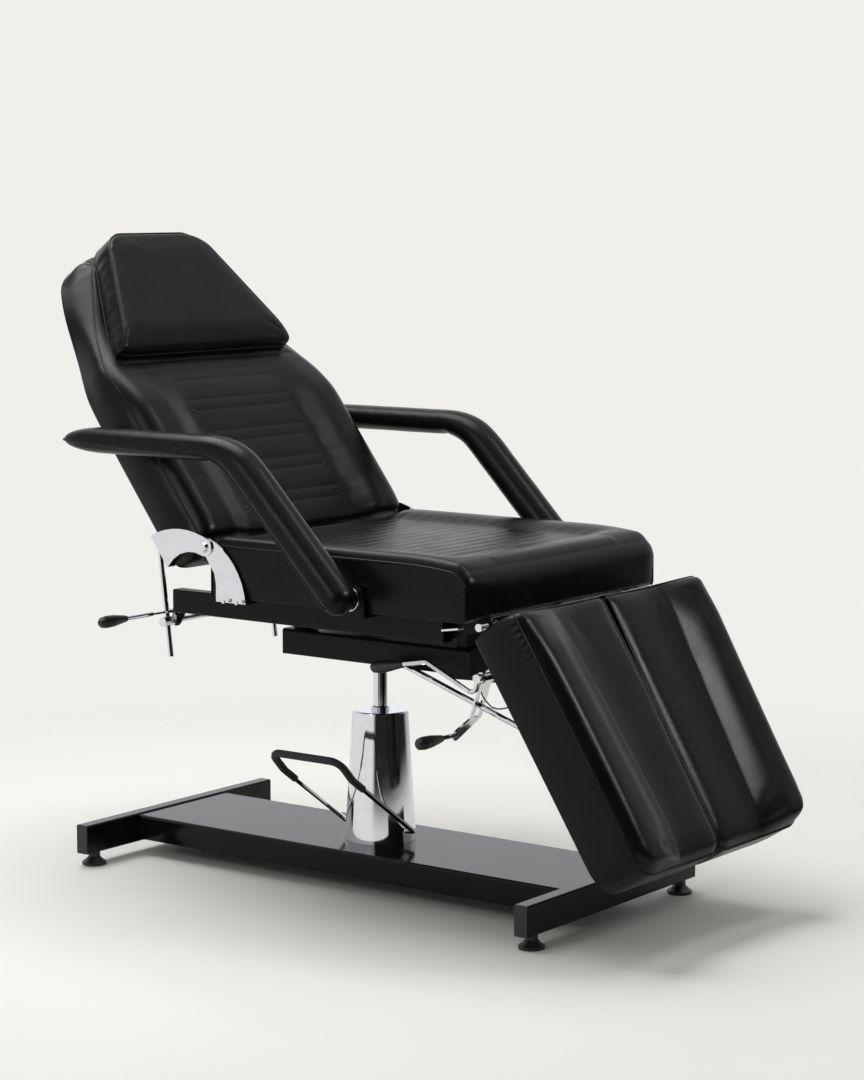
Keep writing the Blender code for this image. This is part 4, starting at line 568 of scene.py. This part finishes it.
def leg_shape_for(way):
    """Shape of the leg pad on one side."""
    def leg_shape(a, t, w):
        low, high = (leg_low[0], -LEG_HALF), (leg_high[0], LEG_HALF)
        plan_a, plan_y = round_corners(a, t * LEG_HALF, low, high, LEG_CORNERS)
        share = (plan_a - low[0]) / (high[0] - low[0])
        inner = between(LEG_INNER, 1 - ease(share / 0.42))
        outer = between(LEG_OUTER, share)
        y = inner + (outer - inner) * (plan_y / LEG_HALF + 1) / 2
        top, low_end = fullness(a - low[0], 0.022), fullness(high[0] - a, 0.050)
        seam = between(LEG_SEAMS, ease((t + 0.3) / 1.3)) - 0.004 * (1 - top) - 0.012 * (1 - low_end)
        foot = between(LEG_FOOT, share)
        slope = np.sin(np.pi / 2 * np.clip((t - foot) / LEG_SLOPE, 0, 1))
        bolster = slope * (0.6 + 0.4 * ease((a - low[0]) / 0.10))
        rolled = np.minimum(top, fullness(high[0] - a, 0.020)) * fullness(1 - np.abs(t), 0.17)
        front = rolled * (0.005 + LEG_BOLSTER * bolster)
        corner = groove(a - low[0], 0.09) * (t > 0.5)
        rear = np.where((t > 1 - TINY) | (a > high[0] - TINY), LEG_REAR, leg_low[2] + 0.002)
        z = rear + w * (seam - rear) + (w > FACE) * front
        boxing = np.sin(np.pi * w) ** 0.7
        uneven = a + 0.010 * puckers(a, t, w, 9, way)
        folds = 0.0022 * gathers(uneven, seam * (1 - w), 0.014, 0.014) * groove(a - low[0] - 0.05, 0.06)
        gather = boxing * (0.0045 + 0.0045 * corner) + folds * (t > 0.5)
        on_side = np.where(t > 1 - TINY, 1.0, np.where(t < -1 + TINY, -0.15, 0.0))
        return plan_a + gather * at_ends(a, low[0], high[0]) * 0.5, way * (y + gather * on_side), z
    return leg_shape


fine_end = leg_low[0] + 0.13
fine_rows = spread([leg_low[0], leg_low[0] + 0.030, fine_end], FINE_STEP)
plain_rows = spread([fine_end, leg_high[0] - 0.045, leg_high[0]], PAD_STEP)
leg_rows = np.concatenate((fine_rows, plain_rows[1:]))
leg_columns = spread([-1.0, -0.83, 0.0, 0.60, 0.83, 1.0], PAD_STEP * 0.7 / LEG_HALF)
SIDES = (("near", -1), ("far", 1))
legs = {}
for side, way in SIDES:
    legs[side] = make_pad(f"{side}_leg_cover", leg_rows, leg_columns, np.linspace(0, 1, 23),
                          leg_shape_for(way), leg_place, f"{side}_leg", f"{side}_leg_cushion")
    if way < 0:
        legs[side]["piece"].data.flip_normals()

# %% [markdown]
# ## Armrests
# An armrest is a stuffed tube: a rounded section swept from the pivot up the slant, round the bend and
# back along the level part to a pinched tip. Rings of points are lofted along that path.

# %% Armrest covers
ARM_CORNER = (-0.063, 0.891)
ARM_TIP_X = -0.477
ARM_PIVOT_X = 0.195
ARM_BEND = 0.120
ARM_SECTION = (0.0345, 0.0255)
ARM_DEEPER = 0.0115
ARM_START = 0.0285
ARM_SIDES = 28
ARM_SQUARENESS = 0.88
SLANT_RINGS, BEND_RINGS, LEVEL_RINGS = 46, 16, 44
BEND_END = SLANT_RINGS + BEND_RINGS
shift = joint_place["swivel"].x


def arm_path(pivot):
    """Middle line of an armrest, its lengths, and its half width, depth above and depth below."""
    corner = Vector((ARM_CORNER[0] + shift - pivot.x, ARM_CORNER[1] - pivot.z))
    slant = corner.normalized()
    tip = Vector((ARM_TIP_X + shift - pivot.x, corner.y))
    level = Vector((-1, 0))
    turn = math.acos(slant.dot(level))
    reach = ARM_BEND * math.tan(turn / 2)
    start, bend_in = -slant * ARM_START, corner - slant * reach
    side = Vector((-slant.y, slant.x))
    centre = bend_in + side * ARM_BEND
    path = [start + (bend_in - start) * i / SLANT_RINGS for i in range(SLANT_RINGS)]
    for i in range(BEND_RINGS + 1):
        angle = turn * i / BEND_RINGS
        path.append(centre - side * ARM_BEND * math.cos(angle) + slant * ARM_BEND * math.sin(angle))
    bend_out = path[-1]
    path += [bend_out + (tip - bend_out) * i / LEVEL_RINGS for i in range(1, LEVEL_RINGS + 1)]
    lengths = np.concatenate(([0], np.cumsum([(q - p).length for p, q in zip(path, path[1:])])))
    dome = fullness(lengths + 0.0012, 0.030)
    left = lengths[-1] - lengths
    tall = dome * (0.10 + 0.90 * fullness(left, 0.100))
    wide = dome * (0.45 + 0.55 * fullness(left, 0.060))
    upper = ARM_SECTION[1] + ARM_DEEPER * ease((lengths[BEND_END] - lengths) / 0.13)
    return path, lengths, ARM_SECTION[0] * wide, upper * tall, ARM_SECTION[1] * tall


def loft(rings, sides):
    """Faces between closed rings of points."""
    steps = [(k, (k + 1) % sides) for k in range(sides)]
    return [[r * sides + k, r * sides + m, (r + 1) * sides + m, (r + 1) * sides + k]
            for r in range(rings - 1) for k, m in steps]


def make_armrest(side, way):
    """Swept cover of one armrest."""
    pivot = joint_place[f"{side}_arm_swing"]
    path, lengths, half, above, below = arm_path(pivot)
    low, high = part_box(f"{side}_armrest")
    middle_y = (low.y + high.y) / 2
    crease = lengths[BEND_END - 2]
    points = []
    for i, point in enumerate(path):
        ahead = (path[min(i + 1, len(path) - 1)] - path[max(i - 1, 0)]).normalized()
        up = Vector((ahead.y, -ahead.x))
        for k in range(ARM_SIDES):
            angle = 2 * math.pi * k / ARM_SIDES
            c, s = math.cos(angle), math.sin(angle)
            wide = math.copysign(abs(c) ** ARM_SQUARENESS, c) * half[i]
            tall = abs(s) ** ARM_SQUARENESS * (above[i] if s > 0 else -below[i])
            ripple = 0.0004 * noise.noise(Vector((lengths[i] * 38 + way, c * 1.4, s * 1.4)))
            notch = -0.0040 * math.exp(-((lengths[i] - crease) / 0.010) ** 2) * max(0.0, -s)
            tall *= 1 + (ripple + notch) / ARM_SECTION[1]
            wide *= 1 + ripple / ARM_SECTION[0]
            spot = point + up * tall
            points.append((pivot.x + spot.x, middle_y + way * wide, pivot.z + spot.y))
    rings = len(path)
    quads = loft(rings, ARM_SIDES)
    quads += [list(range(ARM_SIDES))[::-1], list(range((rings - 1) * ARM_SIDES, rings * ARM_SIDES))]
    mesh = bpy.data.meshes.new(f"{side}_arm_cover")
    mesh.from_pydata(points, [], quads if way < 0 else [q[::-1] for q in quads])
    piece = smooth_piece(f"{side}_arm_cover", mesh, leatherette)
    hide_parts(f"{side}_armrest")
    return {"piece": piece, "rings": rings, "body": f"{side}_arm"}


arms = {side: make_armrest(side, way) for side, way in SIDES}
print("swept", [arm["piece"].name for arm in arms.values()])

# %% [markdown]
# ## Blowing up the covers
# So far the pads are stiff shells. A short cloth simulation with a little air pressure makes them behave
# like stuffed covers: the seams and the rear are pinned, the channels almost so, and everything else swells
# a few millimetres and settles. The movement is capped, so that no pad grows into its neighbours, and the
# share called give lowers it further on the flat panels and between the leg pads.


# %% Cloth simulation
def seam_ring(pad, level):
    """Grid places all round a pad at one level."""
    n, m = pad["top"][0], pad["top"][1]
    places = [(i, 0, level) for i in range(n)] + [(n, j, level) for j in range(m)]
    return places + [(i, m, level) for i in range(n, 0, -1)] + [(0, j, level) for j in range(m, 0, -1)]


def side_seam(pad, j):
    """Grid places up the rear, along the top and down the front of a pad's side."""
    n, k = pad["top"][0], pad["top"][2]
    places = [(0, j, h) for h in range(k)] + [(i, j, k) for i in range(n)]
    return places + [(n, j, h) for h in range(k, -1, -1)]


seat["seams"] = [side_seam(seat, 0), side_seam(seat, seat["top"][1])]
back["seams"] = [seam_ring(back, back["top"][2])]
pillow["seams"] = [seam_ring(pillow, pillow["top"][2]), seam_ring(pillow, 0)]
for leg in legs.values():
    leg["seams"] = [seam_ring(leg, leg["top"][2])]
pads = [seat, back, pillow, *legs.values()]


def pinned(pad):
    """Indices of the points of a pad that the simulation holds."""
    held = {pad["index"][place] for seam in pad["seams"] for place in seam}
    held |= {i for place, i in pad["index"].items() if place[2] == 0}
    return sorted(held)


def coordinates(mesh):
    """Places of a mesh's points as an array."""
    flat = np.empty(len(mesh.vertices) * 3)
    mesh.vertices.foreach_get("co", flat)
    return flat.reshape(-1, 3)


def blow_up(pads, pressure, cap, frames=20):
    """Let all the pads swell together, each no further than the cap."""
    for pad in pads:
        held = pad["piece"].vertex_groups.new(name="held")
        held.add(pinned(pad), 1.0, "REPLACE")
        if "lines" in pad:
            held.add(pad["lines"], 0.9, "REPLACE")
        cloth = pad["piece"].modifiers.new("filling", "CLOTH")
        cover = cloth.settings
        cover.vertex_group_mass = "held"
        cover.use_pressure = True
        cover.uniform_pressure_force = pressure
        cover.tension_stiffness = cover.compression_stiffness = 25
        cover.bending_stiffness = 2.0
        cover.effector_weights.gravity = 0.0
        cloth.point_cache.frame_start = 1
        cloth.point_cache.frame_end = frames
    for number in range(1, frames + 1):
        scene.frame_set(number)
    graph = bpy.context.evaluated_depsgraph_get()
    for pad in pads:
        piece = pad["piece"]
        before = coordinates(piece.data)
        moved = coordinates(piece.evaluated_get(graph).data) - before
        length = np.linalg.norm(moved, axis=1, keepdims=True)
        kept = cap * np.tanh(length / cap) / np.maximum(length, 1e-9) * pad["give"][:, None]
        piece.modifiers.clear()
        piece.data.vertices.foreach_set("co", (before + moved * kept).ravel())
        piece.data.update()
        print("blew up", piece.name, "by at most", round(float((length * kept).max() * 1000), 1), "mm")


for pad in pads:
    pad["give"] = np.ones(len(pad["index"]))
for pad, lines, panel in ((seat, seat_lines, SEAT_PANEL_HALF), (back, back_lines, panel_share)):
    along, across, up = pad["skin"]
    on_face = up > FACE
    pad["lines"] = np.nonzero((to_nearest(along, lines) < TINY) & on_face)[0].tolist()
    pad["give"][on_face & (np.abs(across) < panel)] = 0.2
for leg in legs.values():
    leg["give"][leg["skin"][1] < -FACE] = 0.1
pillow["give"][pillow["skin"][2] > FACE] = 0.45
seat["give"][seat["skin"][0] > seat_high[0] - TINY] = 0.3
blow_up(pads, pressure=4.0, cap=0.0040)

# %% [markdown]
# ## Seams and piping
# Each seam gets a welt: a thin tube of cover folded over a cord. It follows the pinned points, which the
# swollen cover leaves in a shallow valley, so a dark line shows beside the welt as on the real pads.


# %% Piping
SEAM_CREASE = 0.7
RING_GAP = 0.03


def tube(name, points, radius, closed, material):
    """A smooth tube through points, as a mesh."""
    curve = bpy.data.curves.new(name, "CURVE")
    curve.dimensions = "3D"
    curve.bevel_depth = radius
    curve.bevel_resolution = 3
    curve.use_fill_caps = True
    line = curve.splines.new("POLY")
    line.points.add(len(points) - 1)
    for spot, place in zip(line.points, points):
        spot.co = (*place, 1.0)
    line.use_cyclic_u = closed
    holder = bpy.data.objects.new(name, curve)
    scene.collection.objects.link(holder)
    graph = bpy.context.evaluated_depsgraph_get()
    mesh = bpy.data.meshes.new_from_object(holder.evaluated_get(graph))
    bpy.data.objects.remove(holder)
    return smooth_piece(name, mesh, material)


def finish_piece(piece, body):
    """Let a piece ride on its body."""
    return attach(piece, body)


def soften(piece):
    """Smooth a cover's faces once."""
    smooth = piece.modifiers.new("smooth", "SUBSURF")
    smooth.levels = smooth.render_levels = 1


def close_pad(pad, radius):
    """Pipe a pad's seams, smooth its cover and let both ride on the pad's body."""
    piece = pad["piece"]
    spots = coordinates(piece.data)
    for number, seam in enumerate(pad["seams"]):
        path = spots[[pad["index"][place] for place in seam]]
        closed = bool(np.linalg.norm(path[0] - path[-1]) < RING_GAP)
        welt = tube(f"{piece.name}_welt_{number}", path.tolist(), radius, closed, leatherette)
        finish_piece(welt, pad["body"])
    steps = [step for seam in pad["seams"] for step in zip(seam, seam[1:])]
    sewn = {tuple(sorted((pad["index"][p], pad["index"][q]))) for p, q in steps}
    creases = [SEAM_CREASE if tuple(sorted(e.vertices)) in sewn else 0.0 for e in piece.data.edges]
    sharp = piece.data.attributes.new("crease_edge", "FLOAT", "EDGE")
    sharp.data.foreach_set("value", creases)
    soften(piece)
    finish_piece(piece, pad["body"])


close_pad(seat, radius=0.0022)
close_pad(back, radius=0.0021)
close_pad(pillow, radius=0.0022)
for leg in legs.values():
    close_pad(leg, radius=0.0021)
print("piped", sum(len(pad["seams"]) for pad in pads), "seams")

# %% [markdown]
# ## Seams of the armrests
# An armrest's one seam starts low on its outer side, climbs a little round the bend and reaches the middle of
# the side at the tip. It lies between two columns of the swept cover, so its points are mixed from both.

# %% Armrest seams
for side, arm in arms.items():
    spots = coordinates(arm["piece"].data)
    path = []
    for ring in range(3, arm["rings"]):
        turn, level = ease((ring - SLANT_RINGS) / 20), max(0, ring - BEND_END) / LEVEL_RINGS
        column = (-3.1 + 0.9 * turn + 2.0 * level) % ARM_SIDES
        low_column, share = int(column) % ARM_SIDES, column % 1
        first = spots[ring * ARM_SIDES + low_column]
        second = spots[ring * ARM_SIDES + (low_column + 1) % ARM_SIDES]
        path.append((first + (second - first) * share).tolist())
    welt = tube(f"{side}_arm_welt", path, 0.0026, False, leatherette)
    finish_piece(welt, arm["body"])
    soften(arm["piece"])
    finish_piece(arm["piece"], arm["body"])
    print("piped", arm["piece"].name)

# %% [markdown]
# ## Fittings
# A few small pieces that the CAD part leaves out still catch the eye: plastic plugs in the ends of the cross
# bars, chrome caps on the armrest pivots and screw heads on the hinge plates. Each is a block or a disc with
# a bevel, because no real edge is quite sharp, and rides on the body that it is fixed to.


# %% Blocks and discs
def block(size, place, tilt=0.0):
    """A block of a given size, tilted about the axis that lies across the chair."""
    bpy.ops.mesh.primitive_cube_add(size=1.0, location=place, rotation=(0, tilt, 0))
    bpy.context.object.scale = size
    bpy.ops.object.transform_apply()
    return bpy.context.object


def disc(radius, depth, place):
    """A disc whose axis lies across the chair."""
    bpy.ops.mesh.primitive_cylinder_add(vertices=48, radius=radius, depth=depth, location=place,
                                        rotation=(math.pi / 2, 0, 0))
    bpy.ops.object.transform_apply()
    return bpy.context.object


def bevelled(name, piece, width, material, body):
    """Soften a piece's edges, give it its material and let it ride on a body."""
    piece.name = piece.data.name = name
    soft = piece.modifiers.new("edge", "BEVEL")
    soft.width = width
    soft.segments = 3
    piece.data.shade_smooth()
    piece.data.materials.append(material)
    piece.modifiers.new("flat faces", "WEIGHTED_NORMAL")
    return finish_piece(piece, body)


# %% Plugs, caps and screws
PLUG_DEPTH, PLUG_INSET = 0.004, 0.0012
CAP_RADIUS, CAP_DEPTH, CAP_OUT = 0.0240, 0.018, 0.0095
SCREW_RADIUS, SCREW_DEPTH = 0.0042, 0.0030
for bar in ("rear", "front"):
    low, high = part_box(f"{bar}_cross_bar")
    size = (high.x - low.x - PLUG_INSET, PLUG_DEPTH, high.z - low.z - PLUG_INSET)
    for side, place_y in (("near", low.y), ("far", high.y)):
        plug = block(size, ((low.x + high.x) / 2, place_y, (low.z + high.z) / 2))
        bevelled(f"{bar}_{side}_bar_plug", plug, 0.0012, plastic, "base")
for side, way in SIDES:
    pivot = joint_place[f"{side}_arm_swing"]
    low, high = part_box(f"{side}_armrest")
    inner = high.y if way < 0 else low.y
    cap = disc(CAP_RADIUS, CAP_DEPTH, (pivot.x, inner - way * CAP_OUT, pivot.z))
    bevelled(f"{side}_arm_pivot_cap", cap, 0.0015, chrome, "seat_frame")
    low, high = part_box(f"{side}_seat_hinge_plate")
    face = low.y if way < 0 else high.y
    for number, place_x in enumerate((high.x - 0.014, (low.x + high.x) / 2 + 0.012)):
        screw = disc(SCREW_RADIUS, SCREW_DEPTH, (place_x, face + way * 0.0010, low.z + 0.0035))
        bevelled(f"{side}_plate_screw_{number}", screw, 0.0010, chrome, "seat_frame")
print("added plugs, caps and screws")

# %% [markdown]
# ## Pump cover
# The chrome cover is spun from sheet, and its mirror finish would show every facet of the CAD solid. The
# visible cover is therefore turned again from its outline with many more sides. A close ring on either side
# of the rolled edge keeps the smooth shading from bending the long straight wall and the flat lid.


# %% Turned pump cover
def turned(name, outline, middle_x, sides, material):
    """A closed ring of sheet: an outline of radius and height, turned about an upright axis."""
    turns = [2 * math.pi * k / sides for k in range(sides)]
    points = [(middle_x + r * math.cos(t), r * math.sin(t), z) for t in turns for r, z in outline]
    n = len(outline)
    quads = [[k * n + i, (k + 1) % sides * n + i, (k + 1) % sides * n + (i + 1) % n, k * n + (i + 1) % n]
             for k in range(sides) for i in range(n)]
    mesh = bpy.data.meshes.new(name)
    mesh.from_pydata(points, [], quads)
    piece = smooth_piece(name, mesh, material)
    mesh.set_sharp_from_angle(angle=math.radians(35))
    return piece


COVER_BASE, COVER_TOP, COVER_HOLE = 0.072, 0.056, 0.0192
COVER_SHEET, COVER_ROLL, COVER_RING = 0.0014, 0.003, 0.002
low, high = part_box("pump_cover")
shoulder = high.z - COVER_ROLL
under = high.z - COVER_SHEET
flat = COVER_TOP - 0.005
outside = [(COVER_BASE, low.z), (COVER_TOP + 0.0001, shoulder - COVER_RING)]
roll = []
for degrees in range(0, 91, 15):
    angle = math.radians(degrees)
    roll.append((COVER_TOP - COVER_ROLL * (1 - math.cos(angle)), shoulder + COVER_ROLL * math.sin(angle)))
lid = [(flat, high.z), (COVER_HOLE, high.z), (COVER_HOLE, under), (flat, under)]
inside = [(COVER_TOP - COVER_SHEET, shoulder - COVER_RING), (COVER_BASE - COVER_SHEET, low.z)]
cover = turned("turned_pump_cover", outside + roll + lid + inside, (low.x + high.x) / 2, 96, chrome)
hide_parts("pump_cover")
finish_piece(cover, "base")
print("turned the pump cover with", len(cover.data.polygons), "faces")

# %% [markdown]
# ## Hinge straps and release spring
# A short chrome strap shows at each front corner of the seat, over the hinge of the leg pads. Under them a
# bent wire spring pulls the near leg's release back. A tube through a few points along its bend is enough.

# %% Hinge straps and the wire spring
STRAP = (0.040, 0.020, 0.005)
STRAP_TILT = math.radians(-9)
for side, way in SIDES:
    strap = block(STRAP, (leg_hinge.x - 0.052, way * 0.283, leg_hinge.z - 0.006), STRAP_TILT)
    bevelled(f"{side}_hinge_strap", strap, 0.0015, chrome, "seat_frame")
SPRING_Y = -0.186
SPRING_BENDS = [(0.3165, 0.4470), (0.3200, 0.4390), (0.3290, 0.4292), (0.3400, 0.4212),
                (0.3520, 0.4190), (0.3640, 0.4204), (0.3760, 0.4240), (0.3860, 0.4300)]
spring_path = [(x, SPRING_Y, z) for x, z in SPRING_BENDS]
spring = tube("near_release_spring", spring_path, 0.0014, False, frame_paint)
finish_piece(spring, "near_leg_lever")
print("added straps and", spring.name)

# %% [markdown]
# ## Sewn tufts
# Where a pair of channels meets the bolster, the thread is tied off through the foam and leaves a small
# knot. Each knot is a flattened ball at the end of the lower line of a pair.

# %% Tufts on the back
for number, line in enumerate(BACK_PAIRS):
    for side in (-1, 1):
        row = int(np.argmin(np.abs(back_rows - line)))
        column = int(np.argmin(np.abs(back_columns - side * (panel_share - 0.02))))
        spot = back["piece"].data.vertices[back["index"][(row, column, back["top"][2])]].co
        bpy.ops.mesh.primitive_uv_sphere_add(segments=16, ring_count=10, radius=0.0040, location=spot)
        knot = bpy.context.object
        knot.name = f"back_tuft_{number}_{'far' if side < 0 else 'near'}"
        knot.scale = (1.0, 1.0, 0.6)
        knot.rotation_euler = (0, math.radians(90 - BACK_ANGLE), 0)
        knot.data.shade_smooth()
        knot.data.materials.append(leatherette)
        finish_piece(knot, "back")
print("tied", 2 * len(BACK_PAIRS), "tufts")

# %% [markdown]
# ## The studio
# The chair stands on a pale floor that fades into an even background. One large soft light hangs above the
# head end, with weaker ones above the foot end and at the near side. A fourth, beyond the foot end, only
# shows in reflections: it draws the long highlights on the leg pads and leaves the floor alone.

# %% Floor
bpy.ops.mesh.primitive_circle_add(vertices=128, radius=6.0, fill_type="NGON")
floor = bpy.context.object
floor.name = "studio_floor"
floor_paint, tree, shader, places, speckle = drifting_finish(
    "matt_pale_floor_paint", 0.5, ("#eeede9", "#f1f0ec"), (0.70, 0.80))
distance = add(tree, "ShaderNodeVectorMath", {"operation": "LENGTH"}, {0: places}).outputs["Value"]
sockets = {"Value": distance, "From Min": 0.9, "From Max": 2.3, "To Min": 1.0, "To Max": 0.0}
fade = add(tree, "ShaderNodeMapRange", {"interpolation_type": "SMOOTHSTEP"}, sockets)
connect(tree, shader, {"Alpha": fade.outputs["Result"]})
floor.data.materials.append(floor_paint)
print("laid", floor.name)


# %% Lights
def soft_light(name, place, target, size, power, lights_floor=True):
    """A square area light that looks at a target; with lights_floor off it shows in reflections only."""
    data = bpy.data.lights.new(name, "AREA")
    data.size = size
    data.energy = power
    lamp = bpy.data.objects.new(name, data)
    scene.collection.objects.link(lamp)
    lamp.location = place
    lamp.visible_diffuse = lights_floor
    lamp.rotation_euler = (Vector(target) - Vector(place)).to_track_quat("-Z", "Y").to_euler()


soft_light("overhead_softbox", (-1.0, -0.1, 3.3), (0.0, 0.0, 0.5), 2.2, 90)
soft_light("foot_side_softbox", (2.7, 0.6, 2.35), (0.3, 0.0, 0.6), 0.8, 56, lights_floor=False)
soft_light("ceiling_softbox", (1.3, 0.9, 3.3), (-0.4, 0.2, 0.9), 0.8, 13)
soft_light("near_side_softbox", (-0.3, -3.2, 1.9), (-0.3, 0.0, 0.8), 0.7, 12)
print("hung", len(bpy.data.lights), "soft lights")

# %% [markdown]
# ## The room
# Polished chrome shows everything that stands round it. A tall glowing ring of studio wall, which neither the
# camera nor a matt surface sees, gives it calm reflections: painted light in pale tones all round, and painted
# shade in black from behind the camera to the foot end, the unlit part of a studio. Low down, near the floor, the
# dark part reaches further, and the glow is stronger low on the wall.

# %% Studio wall
WALL = {"vertices": 64, "radius": 6.5, "depth": 12.0, "location": (0, 0, 2.0)}
bpy.ops.mesh.primitive_cylinder_add(end_fill_type="NOTHING", **WALL)
wall = bpy.context.object
wall.name = "studio_wall"
wall.visible_camera = False
wall.visible_diffuse = False
glowing_wall_material, tree, shader, places = blank_finish("glowing_studio_wall")
bearing = add(tree, "ShaderNodeTexGradient", {"gradient_type": "RADIAL"}, {"Vector": places}).outputs["Fac"]


def round_the_wall(first, last, stops):
    """Glowing grey tones by bearing, painted light and painted shade: from the head end by the near side, the foot
    end and the far side.
    """
    ramp = add(tree, "ShaderNodeValToRGB", {}, {"Fac": bearing})
    ramp.color_ramp.elements[0].color = linear(first)
    ramp.color_ramp.elements[1].color = linear(last)
    for place, colour in stops:
        ramp.color_ramp.elements.new(place).color = linear(colour)
    return ramp.outputs["Color"]


UNLIT = "#121212"
upper_stops = ((0.28, "#d9dade"), (0.305, UNLIT), (0.535, UNLIT),
               (0.565, "#8a8b8d"), (0.66, "#a2a3a5"), (0.72, "#ecedf0"))
lower_stops = ((0.27, "#e0e0e1"), (0.30, UNLIT), (0.66, UNLIT), (0.71, "#a8a9ab"))
upper = round_the_wall("#d9dade", "#ecedf0", upper_stops)
lower = round_the_wall("#e0e0e1", "#e0e0e1", lower_stops)
height = add(tree, "ShaderNodeSeparateXYZ", {}, {"Vector": places}).outputs["Z"]
soft_step = {"interpolation_type": "SMOOTHSTEP"}
rise = add(tree, "ShaderNodeMapRange", soft_step, {"Value": height, "From Min": -1.9, "From Max": -1.3})
sockets = {0: rise.outputs["Result"], 6: lower, 7: upper}
tones = add(tree, "ShaderNodeMix", {"data_type": "RGBA"}, sockets).outputs[2]
# painted light: the wall glows more strongly low down than higher up
sockets = {"Value": height, "From Min": 0.5, "From Max": 2.5, "To Min": 1.2, "To Max": 0.75}
glow = add(tree, "ShaderNodeMapRange", soft_step, sockets).outputs["Result"]
connect(tree, shader, {"Base Color": linear("#080808"), "Roughness": 1.0})
# the wall's glow in these tones is painted light, with painted shade where it is black
connect(tree, shader, {"Emission Color": tones, "Emission Strength": glow})
wall.data.materials.append(glowing_wall_material)
print("raised", wall.name)

# %% [markdown]
# ## Background and camera
# Camera, glossy and transmitted rays see the pale background at its full level; the light it gives to matt
# surfaces is lower, so that the soft lights shape the pads. The camera's place, angles and focal length were
# fitted to the photograph of the real chair.

# %% Background
world = bpy.data.worlds.new("pale_studio")
scene.world = world
world.use_nodes = True
tree = world.node_tree
rays = add(tree, "ShaderNodeLightPath", {}, {}).outputs
seen = add(tree, "ShaderNodeMath", {"operation": "ADD"}, {0: rays["Is Camera Ray"], 1: rays["Is Glossy Ray"]})
seen = add(tree, "ShaderNodeMath", {"operation": "ADD", "use_clamp": True},
           {0: seen.outputs[0], 1: rays["Is Transmission Ray"]})
level = add(tree, "ShaderNodeMapRange", {}, {"Value": seen.outputs[0], "To Min": 0.39, "To Max": 1.0})
sockets = {"Color": linear("#f0efeb"), "Strength": level.outputs["Result"]}
connect(tree, tree.nodes["Background"], sockets)
print("set", world.name)

# %% Camera
CAMERA_PLACE = (3.404 + shift, -4.393, 1.3687)
CAMERA_AZIMUTH, CAMERA_ELEVATION = math.radians(36.706), math.radians(7.005)
lens = bpy.data.cameras.new("photograph_view")
lens.lens = 94.02
lens.sensor_width = 36.0
camera = bpy.data.objects.new("photograph_view", lens)
scene.collection.objects.link(camera)
look = Vector((-math.sin(CAMERA_AZIMUTH) * math.cos(CAMERA_ELEVATION),
               math.cos(CAMERA_AZIMUTH) * math.cos(CAMERA_ELEVATION), -math.sin(CAMERA_ELEVATION)))
camera.location = CAMERA_PLACE
camera.rotation_euler = look.to_track_quat("-Z", "Y").to_euler()
scene.camera = camera
scene.view_settings.view_transform = "Standard"
print("camera looks along", [round(v, 3) for v in look])
